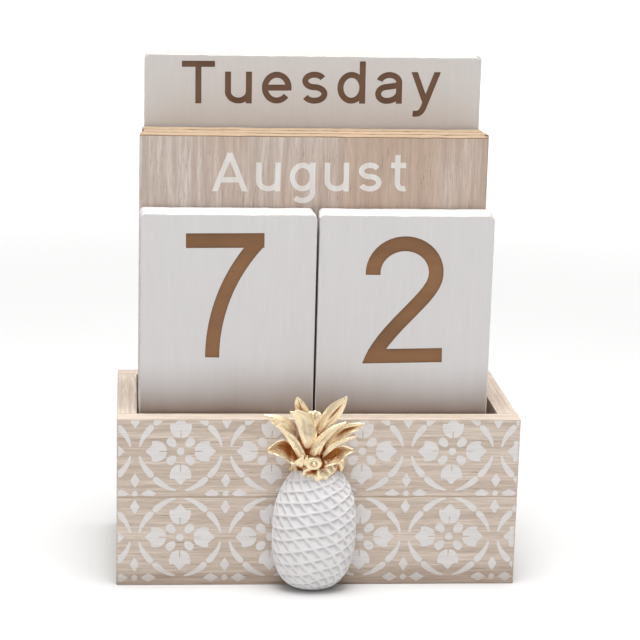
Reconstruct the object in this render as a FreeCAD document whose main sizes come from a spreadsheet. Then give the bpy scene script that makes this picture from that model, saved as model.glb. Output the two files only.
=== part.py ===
"""Perpetual flip calendar: a small wooden tray that holds loose legend plates in three tiers.

Frame: origin at the centre of the tray's underside, +Z up, front towards -Y, +X to the viewer's right.
All lengths are in millimetres. The driving sizes are in the spreadsheet; everything that fits into or
sits on something else is worked out from them and a named clearance.
"""
import FreeCAD, Part
import math
import os

import Sketcher
from FreeCAD import Placement, Rotation, Vector

DOC = FreeCAD.newDocument("flip_calendar")

# ---------------------------------------------------------------- driving sizes
DRIVING = [
    # tray
    ("tray_width", 156.0),
    ("tray_height", 67.4),
    ("wall_thickness", 7.8),
    ("floor_thickness", 6.0),
    ("seam_height", 36.0),
    ("seam_chamfer", 0.4),
    # legend plates
    ("plate_thickness", 7.0),
    ("plate_gap", 0.5),
    ("front_clearance", 0.8),
    ("rear_clearance", 3.6),
    ("number_plate_height", 139.6),
    ("month_plate_height", 167.4),
    ("weekday_plate_height", 195.7),
    ("number_side_play", 5.2),
    ("month_side_play", 6.2),
    ("weekday_side_play", 8.0),
    ("column_gap", 0.9),
    ("plate_corner_radius", 2.0),
    ("plate_edge_chamfer", 0.5),
    # hidden brads
    ("brad_radius", 0.6),
    ("brad_length", 20.0),
    # ornament on the front
    ("ornament_offset", -2.6),
    ("ornament_base", 1.2),
    ("fruit_half_width", 16.4),
    ("fruit_depth", 14.0),
    ("fruit_lower_height", 23.3),
    ("fruit_upper_axis", 30.0),
    ("fruit_upper_angle", 42.0),
    ("collar_height", 4.0),
    ("collar_flare", 0.8),
    ("leaf_thickness", 1.8),
]

# sizes that follow from the driving ones
DERIVED = [
    ("plate_pitch", "=plate_thickness + plate_gap"),
    ("stack_depth", "=7 * plate_thickness + 6 * plate_gap"),
    ("well_depth", "=front_clearance + stack_depth + rear_clearance"),
    ("tray_depth", "=well_depth + 2 * wall_thickness"),
    ("well_width", "=tray_width - 2 * wall_thickness"),
    ("number_plate_width", "=(well_width - number_side_play - column_gap) / 2"),
    ("month_plate_width", "=well_width - month_side_play"),
    ("weekday_plate_width", "=well_width - weekday_side_play"),
    ("fruit_top", "=ornament_base + fruit_lower_height + fruit_upper_axis * sin(fruit_upper_angle * 1deg)"),
    ("collar_radius", "=fruit_half_width * cos(fruit_upper_angle * 1deg)"),
]


def make_sheet():
    """The spreadsheet of sizes: name in column A, value in column B with the name as its alias."""
    sheet = DOC.addObject("Spreadsheet::Sheet", "sizes")
    for row, (name, value) in enumerate(DRIVING + DERIVED, start=1):
        sheet.set("A%d" % row, name)
        sheet.set("B%d" % row, str(value))
        sheet.setAlias("B%d" % row, name)
    DOC.recompute()
    return sheet


SIZES = make_sheet()


def size(name):
    """A size from the sheet as a plain number of millimetres."""
    value = SIZES.get(name)
    return float(getattr(value, "Value", value))


def sheet_expression(text):
    """The text with every size name pointing at the sheet."""
    names = sorted((name for name, _ in DRIVING + DERIVED), key=len, reverse=True)
    for index, name in enumerate(names):
        text = text.replace(name, "@%d@" % index)
    for index, name in enumerate(names):
        text = text.replace("@%d@" % index, "sizes." + name)
    return text


# ---------------------------------------------------------------- modelling helpers
def new_body(label, x="0", y="0", z="0"):
    """A body placed at (x, y, z), each an expression in the sheet's sizes."""
    body = DOC.addObject("PartDesign::Body", label)
    body.Label = label
    for axis, text in (("x", x), ("y", y), ("z", z)):
        body.setExpression("Placement.Base." + axis, "(%s) * 1mm" % sheet_expression(text))
    return body


def new_sketch(body, role, name):
    """A sketch flat on one of the body's own origin planes."""
    plane = next(item for item in body.Origin.OriginFeatures if item.Role == role)
    sketch = body.newObject("Sketcher::SketchObject", name)
    sketch.AttachmentSupport = [(plane, "")]
    sketch.MapMode = "FlatFace"
    return sketch


def bind(sketch, index, text):
    """Ties a sketch dimension to an expression in the sheet's sizes."""
    sketch.setExpression("Constraints[%d]" % index, "(%s) * 1mm" % sheet_expression(text))


def draw_rectangle(sketch, left, low, width, height):
    """A rectangle whose lower left corner and size are expressions in the sheet's sizes."""
    corners = [Vector(-1, 0, 0), Vector(1, 0, 0), Vector(1, 2, 0), Vector(-1, 2, 0)]
    for start, end in zip(corners, corners[1:] + corners[:1]):
        sketch.addGeometry(Part.LineSegment(start, end), False)
    for line in range(4):
        sketch.addConstraint(Sketcher.Constraint("Coincident", line, 2, (line + 1) % 4, 1))
    for line, kind in enumerate(("Horizontal", "Vertical", "Horizontal", "Vertical")):
        sketch.addConstraint(Sketcher.Constraint(kind, line))
    dimensions = (
        (("DistanceX", 0, 1, 0, 2, 2.0), width),
        (("DistanceY", 1, 1, 1, 2, 2.0), height),
        (("DistanceX", -1, 1, 0, 1, -1.0), left),
        (("DistanceY", -1, 1, 0, 1, 0.0), low),
    )
    for constraint, text in dimensions:
        index = sketch.addConstraint(Sketcher.Constraint(*constraint))
        bind(sketch, index, text)


def draw_circles(sketch, radius, centres):
    """Circles of one radius; each centre is a pair of expressions in the sheet's sizes."""
    for order, (across, up) in enumerate(centres):
        guess = Vector(3.0 * order, 3.0, 0)
        circle = sketch.addGeometry(Part.Circle(guess, Vector(0, 0, 1), 0.5), False)
        for kind, value, text in (("DistanceX", guess.x, across), ("DistanceY", guess.y, up)):
            index = sketch.addConstraint(Sketcher.Constraint(kind, -1, 1, circle, 3, value))
            bind(sketch, index, text)
        index = sketch.addConstraint(Sketcher.Constraint("Radius", circle, 0.5))
        bind(sketch, index, radius)


def pad(body, sketch, length, name):
    """Pads the sketch along its normal by an expression in the sheet's sizes."""
    feature = body.newObject("PartDesign::Pad", name)
    feature.Profile = sketch
    feature.setExpression("Length", "(%s) * 1mm" % sheet_expression(length))
    sketch.Visibility = False
    DOC.recompute()
    return feature


def pocket(body, sketch, length, name, reverse=False):
    """Cuts the sketch into the body, and makes sure that it removed something."""
    before = body.Shape.Volume
    feature = body.newObject("PartDesign::Pocket", name)
    feature.Profile = sketch
    feature.Reversed = reverse
    feature.setExpression("Length", "(%s) * 1mm" % sheet_expression(length))
    DOC.recompute()
    if body.Shape.Volume >= before - 1e-6:
        raise RuntimeError("%s cuts nothing from %s" % (name, body.Label))
    return feature


def edges_where(shape, test):
    """Names of the shape's edges that pass the test."""
    return ["Edge%d" % number for number, edge in enumerate(shape.Edges, start=1) if test(edge)]


def is_along_y(edge):
    """True for an edge that runs front to back."""
    box = edge.BoundBox
    return box.YLength > 1e-6 and box.XLength < 1e-6 and box.ZLength < 1e-6


def is_on_a_face(edge):
    """True for an edge that stays at one depth, so it bounds the front or the back face."""
    return edge.BoundBox.YLength < 1e-6


def chamfer_edges(body, base, names, amount, name):
    """Chamfers the named edges of the base feature."""
    feature = body.newObject("PartDesign::Chamfer", name)
    feature.Base = (base, names)
    feature.setExpression("Size", "(%s) * 1mm" % sheet_expression(amount))
    DOC.recompute()
    return feature


# ---------------------------------------------------------------- tray
def make_panel_slat(label, front, low, high):
    """One horizontal slat of the front or back panel, with its seam edge eased on the outside.

    The slat's own origin is at the middle of its rear face, in line with the tray's underside.
    """
    depth = "wall_thickness - tray_depth / 2" if front else "tray_depth / 2"
    body = new_body(label, y=depth)
    outline = new_sketch(body, "XZ_Plane", label + "_outline")
    draw_rectangle(outline, "-tray_width / 2", low, "tray_width", "%s - (%s)" % (high, low))
    slat = pad(body, outline, "wall_thickness", label + "_board")
    outer_face = -size("wall_thickness") if front else 0.0
    seam = size("seam_height")

    def is_seam_edge(edge):
        box = edge.BoundBox
        level = box.ZLength < 1e-6 and abs(box.ZMin - seam) < 1e-6
        return level and box.YLength < 1e-6 and abs(box.YMin - outer_face) < 1e-6

    names = edges_where(slat.Shape, is_seam_edge)
    chamfer_edges(body, slat, names, "seam_chamfer", label + "_seam")
    return body


def brad_heights():
    """Heights of the brads in a corner: the middle of each slat."""
    return ("seam_height / 2", "(seam_height + tray_height) / 2")


def make_back_slat(label, low, high, height):
    """A slat of the back panel, with a brad hole into the end of each side board."""
    body = make_panel_slat(label, False, low, high)
    holes = new_sketch(body, "XZ_Plane", label + "_holes")
    across = "tray_width / 2 - wall_thickness / 2"
    draw_circles(holes, "brad_radius", [("-(%s)" % across, height), (across, height)])
    pocket(body, holes, "wall_thickness", label + "_brad_holes", reverse=True)
    return body


def make_side(label, side):
    """A side board between the two panels; side is -1 for the left and 1 for the right."""
    centre = "%d * (tray_width - wall_thickness) / 2" % side
    body = new_body(label, x=centre, y="well_depth / 2")
    outline = new_sketch(body, "XZ_Plane", label + "_outline")
    draw_rectangle(outline, "-wall_thickness / 2", "0", "wall_thickness", "tray_height")
    pad(body, outline, "well_depth", label + "_board")
    ends = new_sketch(body, "XZ_Plane", label + "_end_holes")
    draw_circles(ends, "brad_radius", [("0", height) for height in brad_heights()])
    pocket(body, ends, "brad_length - wall_thickness", label + "_end_brad_holes", reverse=True)
    cross = new_sketch(body, "YZ_Plane", label + "_cross_holes")
    depths = ("-well_depth / 4", "-3 * well_depth / 4")
    draw_circles(cross, "brad_radius", [(depth, "floor_thickness / 2") for depth in depths])
    through = pocket(body, cross, "wall_thickness", label + "_floor_brad_holes")
    through.Midplane = True
    DOC.recompute()
    return body


def make_floor():
    """The floor board between the four walls, with blind brad holes in its two ends."""
    label = "tray_floor"
    body = new_body(label)
    outline = new_sketch(body, "XY_Plane", label + "_outline")
    draw_rectangle(outline, "-well_width / 2", "-well_depth / 2", "well_width", "well_depth")
    pad(body, outline, "floor_thickness", label + "_board")
    for name, plane_x, reverse in (("left", "-well_width / 2", True), ("right", "well_width / 2", False)):
        holes = new_sketch(body, "YZ_Plane", "%s_%s_holes" % (label, name))
        holes.setExpression("AttachmentOffset.Base.z", "(%s) * 1mm" % sheet_expression(plane_x))
        depths = ("well_depth / 4", "-well_depth / 4")
        draw_circles(holes, "brad_radius", [(depth, "floor_thickness / 2") for depth in depths])
        pocket(body, holes, "brad_length - wall_thickness", "%s_%s_brad_holes" % (label, name), reverse)
    return body


def make_brads(label, places):
    """A group of brads; each place is a start point and a direction in the tray's frame."""
    parts = []
    for order, (x, y, z, direction) in enumerate(places):
        brad = DOC.addObject("Part::Cylinder", "%s_%d" % (label, order))
        brad.setExpression("Radius", "sizes.brad_radius * 1mm")
        brad.setExpression("Height", "sizes.brad_length * 1mm")
        brad.Placement = Placement(Vector(), Rotation(Vector(0, 0, 1), direction))
        for axis, text in (("x", x), ("y", y), ("z", z)):
            brad.setExpression("Placement.Base." + axis, "(%s) * 1mm" % sheet_expression(text))
        parts.append(brad)
    group = DOC.addObject("Part::Compound", label)
    group.Label = label
    group.Links = parts
    return group


def make_corner_brads():
    """Four brads driven forwards through the back panel into the side boards."""
    across = "(tray_width - wall_thickness) / 2"
    places = []
    for side in (-1, 1):
        for height in brad_heights():
            places.append(("%d * %s" % (side, across), "tray_depth / 2", height, Vector(0, -1, 0)))
    return make_brads("corner_brads", places)


def make_floor_brads():
    """Four brads driven inwards through the side boards into the floor's ends."""
    places = []
    for side in (-1, 1):
        for depth in ("well_depth / 4", "-well_depth / 4"):
            start = "%d * tray_width / 2" % side
            places.append((start, depth, "floor_thickness / 2", Vector(-side, 0, 0)))
    return make_brads("floor_brads", places)


# ---------------------------------------------------------------- legend plates
def make_plate(label, width, height, left, layer):
    """A loose plate that stands on the tray's floor.

    width, height and left are expressions; left is the clear space between the left wall and the
    plate. layer counts the plates from the front of the stack, starting at 0.
    """
    centre = "-well_width / 2 + (%s) + (%s) / 2" % (left, width)
    rear = "-well_depth / 2 + front_clearance + plate_thickness + %d * plate_pitch" % layer
    body = new_body(label, x=centre, y=rear, z="floor_thickness")
    outline = new_sketch(body, "XZ_Plane", label + "_outline")
    draw_rectangle(outline, "-(%s) / 2" % width, "0", width, height)
    blank = pad(body, outline, "plate_thickness", label + "_blank")
    corners = body.newObject("PartDesign::Fillet", label + "_corners")
    corners.Base = (blank, edges_where(blank.Shape, is_along_y))
    corners.setExpression("Radius", "sizes.plate_corner_radius * 1mm")
    DOC.recompute()
    rim = edges_where(corners.Shape, is_on_a_face)
    chamfer_edges(body, corners, rim, "plate_edge_chamfer", label + "_edges")
    return body


# name, column (0 left, 1 right), layer from the front, share of the side play left of the plate
NUMBER_PLATES = [
    ("number_plate_left_front", 0, 0, 0.16),
    ("number_plate_left_rear", 0, 1, 0.09),
    ("number_plate_right_front", 1, 0, 0.16),
    ("number_plate_right_rear", 1, 1, 0.28),
]
# name, layer, share of the side play
MONTH_PLATES = [
    ("month_plate_front", 2, 0.06),
    ("month_plate_middle", 3, 0.34),
    ("month_plate_rear", 4, 0.22),
]
WEEKDAY_PLATES = [
    ("weekday_plate_front", 5, 0.28),
    ("weekday_plate_rear", 6, 0.45),
]


def make_plates():
    """Every loose plate, tier by tier from the front."""
    plates = []
    for label, column, layer, share in NUMBER_PLATES:
        left = "number_side_play * %g + %d * (number_plate_width + column_gap)" % (share, column)
        plates.append(make_plate(label, "number_plate_width", "number_plate_height", left, layer))
    for label, layer, share in MONTH_PLATES:
        left = "month_side_play * %g" % share
        plates.append(make_plate(label, "month_plate_width", "month_plate_height", left, layer))
    for label, layer, share in WEEKDAY_PLATES:
        left = "weekday_side_play * %g" % share
        plates.append(make_plate(label, "weekday_plate_width", "weekday_plate_height", left, layer))
    return plates


# ---------------------------------------------------------------- ornament
def place_ornament_piece(piece, height):
    """Puts a primitive's flat back on the front panel, its axis upright, at a height."""
    piece.Placement = Placement(Vector(), Rotation(Vector(0, 0, 1), 180))
    for axis, text in (("x", "ornament_offset"), ("y", "-tray_depth / 2"), ("z", height)):
        piece.setExpression("Placement.Base." + axis, "(%s) * 1mm" % sheet_expression(text))


def make_fruit():
    """The flat-backed fruit: a quarter ellipsoid below its widest level and a blunter one above."""
    halves = []
    for name, axis, low, high in (
        ("fruit_lower_half", "fruit_lower_height", "-90", "0"),
        ("fruit_upper_half", "fruit_upper_axis", "0", "fruit_upper_angle"),
    ):
        half = DOC.addObject("Part::Ellipsoid", name)
        half.setExpression("Radius1", sheet_expression(axis) + " * 1mm")
        half.setExpression("Radius2", "sizes.fruit_half_width * 1mm")
        half.setExpression("Radius3", "sizes.fruit_depth * 1mm")
        half.setExpression("Angle1", "(%s) * 1deg" % sheet_expression(low))
        half.setExpression("Angle2", "(%s) * 1deg" % sheet_expression(high))
        half.Angle3 = 180
        place_ornament_piece(half, "ornament_base + fruit_lower_height")
        halves.append(half)
    fruit = DOC.addObject("Part::Fuse", "pineapple_body")
    fruit.Label = "pineapple_body"
    fruit.Base, fruit.Tool = halves
    DOC.recompute()
    return fruit


# Crown leaves: base and tip as (across, forward, up) from the middle of the collar's top, and width.
LEAVES = [
    ((-3.5, 5.0, -1.0), (-20.5, 8.0, 24.0), 7.0),
    ((-2.5, 7.0, -0.5), (-9.0, 10.0, 26.0), 9.5),
    ((-2.5, 3.2, -0.5), (-7.0, 4.0, 29.5), 7.5),
    ((0.0, 4.0, -0.5), (0.5, 4.5, 23.0), 9.0),
    ((2.0, 3.6, -0.5), (11.5, 5.0, 30.5), 8.0),
    ((0.5, 8.0, -1.0), (10.5, 11.5, 22.0), 8.5),
    ((3.5, 5.5, -0.5), (19.0, 8.5, 20.5), 8.0),
    ((2.5, 8.0, -1.0), (14.5, 12.5, 17.0), 8.0),
    ((4.0, 6.5, -1.0), (14.5, 11.0, 11.5), 7.0),
    ((-4.0, 6.0, -1.0), (-18.5, 9.5, 11.0), 6.5),
]
LEAF_STATIONS = ((0.0, 0.6), (0.35, 1.0), (0.72, 0.6))


def make_leaf(base, tip, width, thickness):
    """One pointed leaf: elliptical sections from the base that close on the tip."""
    along = tip - base
    heading = Vector(along).normalize()
    across = heading.cross(Vector(0, -1, 0)).normalize()
    outward = across.cross(heading).normalize()
    sections = []
    for station, share in LEAF_STATIONS:
        centre = base + along * station
        major = centre + across * (width / 2 * share)
        minor = centre + outward * (thickness / 2)
        ellipse = Part.Ellipse(major, minor, centre)
        sections.append(Part.Wire([ellipse.toShape()]))
    sections.append(Part.Vertex(tip))
    return Part.makeLoft(sections, True, False)


def make_crown():
    """The leaf crown on its half-round collar, one solid with a flat back against the panel."""
    collar_radius = size("collar_radius")
    collar_top_radius = collar_radius * size("collar_flare")
    height = size("collar_height")
    flatten = FreeCAD.Matrix()
    flatten.scale(Vector(1, size("fruit_depth") / size("fruit_half_width"), 1))
    collar = Part.makeCone(collar_radius, collar_top_radius, height, Vector(), Vector(0, 0, 1), 180)
    collar = collar.transformGeometry(flatten)
    collar.rotate(Vector(), Vector(0, 0, 1), 180)
    leaves = []
    for base, tip, width in LEAVES:
        start = Vector(base[0], -base[1], base[2] + height)
        end = Vector(tip[0], -tip[1], tip[2] + height)
        leaves.append(make_leaf(start, end, width, size("leaf_thickness")))
    crown = DOC.addObject("Part::Feature", "pineapple_crown")
    crown.Label = "pineapple_crown"
    shape = collar
    for leaf in leaves:
        shape = shape.fuse(leaf)
    crown.Shape = shape
    position = Vector(size("ornament_offset"), -size("tray_depth") / 2, size("fruit_top"))
    crown.Placement = Placement(position, Rotation())
    return crown


# ---------------------------------------------------------------- build, check, write
def check_document():
    """Stops if any object of the document failed."""
    for item in DOC.Objects:
        if "Invalid" in item.State or "Error" in item.State:
            raise RuntimeError("%s is in state %s" % (item.Name, item.State))


def check_shape(piece, solids):
    """Stops if a sub-part's shape is empty, broken or in the wrong number of solids."""
    shape = piece.Shape
    if shape.isNull() or not shape.isValid():
        raise RuntimeError("%s has no valid shape" % piece.Label)
    if len(shape.Solids) != solids:
        raise RuntimeError("%s has %d solids, not %d" % (piece.Label, len(shape.Solids), solids))


def main():
    pieces = [
        make_panel_slat("tray_front_lower_slat", True, "0", "seam_height"),
        make_panel_slat("tray_front_upper_slat", True, "seam_height", "tray_height"),
        make_back_slat("tray_back_lower_slat", "0", "seam_height", brad_heights()[0]),
        make_back_slat("tray_back_upper_slat", "seam_height", "tray_height", brad_heights()[1]),
        make_side("tray_left_side", -1),
        make_side("tray_right_side", 1),
        make_floor(),
    ]
    pieces += make_plates()
    pieces += [make_fruit(), make_crown()]
    brads = [make_corner_brads(), make_floor_brads()]
    DOC.recompute()
    check_document()
    for piece in pieces:
        check_shape(piece, 1)
    for group in brads:
        check_shape(group, 4)
    os.makedirs("parts", exist_ok=True)
    for piece in pieces + brads:
        piece.Shape.exportStep("parts/%s.step" % piece.Label)
        box = piece.Shape.BoundBox
        extent = (box.XMin, box.XMax, box.YMin, box.YMax, box.ZMin, box.ZMax)
        print("%-26s x %7.2f %7.2f  y %7.2f %7.2f  z %7.2f %7.2f" % ((piece.Label,) + extent))


main()
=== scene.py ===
"""Flip desk calendar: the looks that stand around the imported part.

Every length is in metres in the part's own frame: the origin is the middle of
the tray's underside, the front looks along -Y and up is +Z.
"""

import math
from bisect import bisect_left

import bmesh
import bpy
from bpy.props import FloatProperty, FloatVectorProperty, IntProperty, PointerProperty
from mathutils import Matrix, Vector, noise


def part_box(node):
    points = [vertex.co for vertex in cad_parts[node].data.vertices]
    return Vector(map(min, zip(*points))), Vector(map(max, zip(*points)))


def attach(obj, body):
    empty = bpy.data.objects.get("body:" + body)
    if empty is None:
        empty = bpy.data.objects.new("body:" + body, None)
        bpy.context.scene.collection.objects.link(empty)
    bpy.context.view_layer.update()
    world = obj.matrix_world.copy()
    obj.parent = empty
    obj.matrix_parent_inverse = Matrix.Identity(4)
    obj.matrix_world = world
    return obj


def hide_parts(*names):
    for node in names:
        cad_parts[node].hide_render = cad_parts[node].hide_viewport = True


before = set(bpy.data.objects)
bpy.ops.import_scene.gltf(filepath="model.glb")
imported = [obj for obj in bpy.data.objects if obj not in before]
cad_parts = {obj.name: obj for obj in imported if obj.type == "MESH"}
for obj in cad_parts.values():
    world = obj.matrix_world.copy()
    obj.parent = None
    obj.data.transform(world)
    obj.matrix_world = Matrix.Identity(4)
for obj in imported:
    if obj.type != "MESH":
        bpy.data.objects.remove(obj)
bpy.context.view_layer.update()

bl_info = {
    "name": "Flip Desk Calendar",
    "version": (1, 0, 0),
    "blender": (4, 5, 0),
    "location": "View3D > Sidebar > Calendar",
    "description": "Builds a wooden flip desk calendar with carved plates and an ornament",
    "category": "Object",
}

MM = 0.001
NOISE_SEED = 7
noise.seed_set(NOISE_SEED)  # without it noise_vector differs from run to run
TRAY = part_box("tray_front_lower_slat")[0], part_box("tray_back_upper_slat")[1]
NEAR = 0.02 * MM  # two places nearer than this are the same
BURIED = 0.02 * MM  # how deep printed paint reaches into the wood


def srgb(red, green, blue):
    """The linear colour of three screen values from 0 to 255."""

    def linear(value):
        value /= 255
        return value / 12.92 if value <= 0.04045 else ((value + 0.055) / 1.055) ** 2.4

    return linear(red), linear(green), linear(blue)


# ---------------------------------------------------------------- settings


def length(name, description, millimetres):
    return FloatProperty(
        name=name, description=description, default=millimetres * MM, min=0.0, unit="LENGTH", precision=5
    )


def colour(name, description, red, green, blue):
    return FloatVectorProperty(
        name=name, description=description, default=srgb(red, green, blue), subtype="COLOR", size=3, min=0.0, max=1.0
    )


class TraySettings(bpy.types.PropertyGroup):
    rounding: length("Rounding", "Radius along the tray's outside edges", 0.55)
    seam_chamfer: length("Seam chamfer", "Chamfer where two slats meet", 0.4)
    joint_chamfer: length("Joint chamfer", "Chamfer where boards butt together", 0.12)
    light_wood: colour("Light wood", "Palest tone of the tray's wood", 226, 212, 199)
    dark_wood: colour("Dark wood", "Grain tone of the tray's wood", 176, 156, 138)
    paint: colour("Stencil paint", "Paint of the stencilled pattern", 231, 227, 225)
    paint_height: length("Paint height", "How far the stencilled paint stands proud", 0.06)
    brad_sink: length("Brad sink", "How deep the brad heads sit below the wood", 0.25)


class PlateSettings(bpy.types.PropertyGroup):
    corner: length("Corner radius", "Radius of a plate's four corners", 2.0)
    edge: length("Edge rounding", "Rounding around a plate's two faces", 0.32)
    carving: length("Carving depth", "Depth of the burnt digits and weekdays", 0.35)
    print_height: length("Print height", "How far the printed month names stand proud", 0.05)
    paint: colour("Plate paint", "Paint of the number and weekday plates", 216, 213, 213)
    # the plate paint darkened as painted shade for the weekday plates
    weekday_shaded_paint: colour("Weekday shaded paint", "Slightly greyer paint of the weekday plates", 208, 203, 200)
    worn: colour("Worn edge", "Tone where the paint is thin along the edges", 205, 198, 190)
    month_light: colour("Light month wood", "Palest tone of the month plates", 215, 206, 198)
    month_dark: colour("Dark month wood", "Streak tone of the month plates", 176, 154, 140)
    burnt_digit: colour("Burnt digit", "Floor of the carved digits", 141, 100, 65)
    burnt_word: colour("Burnt word", "Floor of the carved weekdays", 112, 80, 59)
    # a dark brown painted as shade on the month plates' upper rims, where the gaps between them fall dark
    month_rim_shade: colour("Month rim", "Browned rims of the month plates", 122, 88, 60)
    wear: length("Wear", "How far the top edges are worn down", 0.34)
    month_corner: length("Month corner", "Radius of a month plate's corners", 0.6)
    month_brown: colour("Brown month wood", "Browner patches of the month plates", 197, 172, 152)
    month_top: colour("Month end grain", "Cut ends along the top of the month plates", 184, 160, 132)
    # painted shade and a painted brown reflection of the wood, just above the tray's rim
    rub: colour("Rim shade", "Tone rubbed into the number plates where they leave the tray", 136, 117, 104)
    ink: colour("Ink", "Ink of the printed month names", 228, 226, 224)


class OrnamentSettings(bpy.types.PropertyGroup):
    ridge: length("Ridge height", "Height of the lattice on the fruit", 1.05)
    gentle_pitch: length("Gentle pitch", "Spacing up the fruit of the gently rising ridges", 4.9)
    steep_pitch: length("Steep pitch", "Spacing up the fruit of the steep ridges", 5.7)
    leaf_thickness: length("Leaf thickness", "Thickness of the crown's leaves", 0.6)
    resin: colour("Resin", "White of the fruit", 238, 235, 236)
    # painted shade between the fruit's ridges
    resin_shade: colour("Resin hollow", "Tone between the fruit's ridges", 188, 185, 187)
    gold: colour("Gold", "Bright gold of the crown", 251, 231, 194)
    # painted shade tone of the gold in the crown's hollows
    amber: colour("Gold shade", "Deep gold in the crown's hollows", 164, 100, 42)
    steps: IntProperty(name="Steps", description="Steps round the fruit", default=168, min=24, max=400)


class StageSettings(bpy.types.PropertyGroup):
    floor: colour("Floor", "Colour of the floor", 216, 216, 216)
    sky: FloatProperty(name="Sky", description="Strength of the soft light overhead", default=0.5, min=0.0)
    horizon: FloatProperty(
        name="Horizon", description="Strength of the soft light from the sides", default=0.08, min=0.0
    )
    key: FloatProperty(name="Key", description="Power of the soft light above", default=33.0, min=0.0, unit="POWER")


# ---------------------------------------------------------------- node helpers


def feed(tree, socket, value):
    """Links a socket to an input, or sets a constant on it; a colour gets its alpha."""
    if isinstance(value, bpy.types.NodeSocket):
        tree.links.new(value, socket)
    elif socket.type == "RGBA":
        socket.default_value = (*value[:3], 1.0)
    else:
        socket.default_value = value


def add_node(tree, kind, settings=(), **inputs):
    """A node of that kind. In an input's name _ is a space, and i0 is input 0."""
    made = tree.nodes.new("ShaderNode" + kind)
    for key, value in dict(settings).items():
        setattr(made, key, value)
    for key, value in inputs.items():
        numbered = key[1:].isdigit()
        feed(tree, made.inputs[int(key[1:]) if numbered else key.replace("_", " ")], value)
    return made


def mix(tree, factor, first, second, blend="MIX"):
    """The colour between first and second at that factor."""
    settings = {"data_type": "RGBA", "blend_type": blend}
    return add_node(tree, "Mix", settings, i0=factor, i6=first, i7=second).outputs[2]


def math_node(tree, operation, first, second):
    return add_node(tree, "Math", {"operation": operation}, i0=first, i1=second).outputs[0]


def ramp(tree, value, low, high, out_low=0.0, out_high=1.0, steps="SMOOTHSTEP"):
    """value taken from low..high to out_low..out_high, and held there outside."""
    ends = {"From_Min": low, "From_Max": high, "To_Min": out_low, "To_Max": out_high}
    return add_node(tree, "MapRange", {"interpolation_type": steps}, Value=value, **ends).outputs[0]


def cloud_node(tree, vector, scale=1.0, detail=2.0, roughness=0.5):
    """Cloudy values around a half."""
    made = add_node(tree, "TexNoise", Vector=vector, Scale=scale, Detail=detail, Roughness=roughness)
    return made.outputs["Fac"]


def axis_value(tree, vector, axis):
    return add_node(tree, "SeparateXYZ", Vector=vector).outputs[axis]


def object_vector(tree, scale=None, turn=(0, 0, 0), shift=(0, 0, 0)):
    """Object coordinates, turned and then stretched to the pattern's size."""
    vector = add_node(tree, "TexCoord").outputs["Object"]
    if scale is None:
        return vector
    turned = add_node(tree, "Mapping", Vector=vector, Location=shift, Rotation=turn).outputs[0]
    return add_node(tree, "Mapping", Vector=turned, Scale=scale).outputs[0]


def new_group(name, inputs, outputs):
    """A shader node group, its input sockets and its output node."""
    group = bpy.data.node_groups.new(name, "ShaderNodeTree")
    for title, kind, *default in inputs:
        socket = group.interface.new_socket(title, in_out="INPUT", socket_type="NodeSocket" + kind)
        if default:
            socket.default_value = default[0]
    for title, kind in outputs:
        group.interface.new_socket(title, in_out="OUTPUT", socket_type="NodeSocket" + kind)
    return group, group.nodes.new("NodeGroupInput").outputs, group.nodes.new("NodeGroupOutput")


def wood_grain(name):
    """Fibres, long streaks and pores along the vector's X."""
    group, given, made = new_group(
        name,
        [
            ("Vector", "Vector"),
            ("Light", "Color", (1, 1, 1, 1)),
            ("Dark", "Color", (0.5, 0.4, 0.3, 1)),
            ("Streak", "Float", 0.5),
            ("Pores", "Float", 0.5),
        ],
        [("Color", "Color"), ("Height", "Float")],
    )
    vector, light, dark, streak, pores = given[:5]
    warp = add_node(group, "TexNoise", Vector=vector, Scale=0.6, Detail=2.0).outputs["Color"]
    bend = {"operation": "MULTIPLY_ADD"}
    bent = add_node(group, "VectorMath", bend, i0=warp, i1=(0.6, 1.6, 1.6), i2=vector).outputs[0]
    fibres = ramp(group, cloud_node(group, bent, 1.0, 5.0, 0.62), 0.36, 0.66)
    streaks = ramp(group, cloud_node(group, bent, 0.22, 3.0, 0.55), 0.40, 0.62)
    holes = ramp(group, cloud_node(group, bent, 2.6), 0.62, 0.74)
    pits = math_node(group, "MULTIPLY", holes, pores)
    tone = mix(group, math_node(group, "MULTIPLY", fibres, 0.55), light, dark)
    tone = mix(group, math_node(group, "MULTIPLY", streaks, streak), tone, dark)
    deep = mix(group, 1.0, dark, (0.62, 0.52, 0.45), "MULTIPLY")
    tone = mix(group, math_node(group, "MULTIPLY", pits, 0.8), tone, deep)
    sunk = math_node(group, "SUBTRACT", math_node(group, "MULTIPLY", fibres, -0.5), pits)
    feed(group, made.inputs["Color"], tone)
    feed(group, made.inputs["Height"], sunk)
    return group


def mottle(name):
    """Soft cloudy tone and fine specks, as on brushed paint or a casting."""
    group, given, made = new_group(
        name,
        [
            ("Vector", "Vector"),
            ("Color", "Color", (1, 1, 1, 1)),
            ("Tint", "Color", (0.8, 0.8, 0.8, 1)),
            ("Cloud", "Float", 0.3),
            ("Specks", "Float", 0.2),
        ],
        [("Color", "Color"), ("Height", "Float")],
    )
    vector, base, tint, cloud, specks = given[:5]
    big = cloud_node(group, vector, 0.12, 4.0, 0.6)
    fine = cloud_node(group, vector, 1.5, 4.0, 0.7)
    clouds = math_node(group, "MULTIPLY", ramp(group, big, 0.42, 0.68), cloud)
    dots = math_node(group, "MULTIPLY", ramp(group, fine, 0.62, 0.72), specks)
    feed(group, made.inputs["Color"], mix(group, math_node(group, "MAXIMUM", clouds, dots), base, tint))
    feed(group, made.inputs["Height"], fine)
    return group


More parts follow.
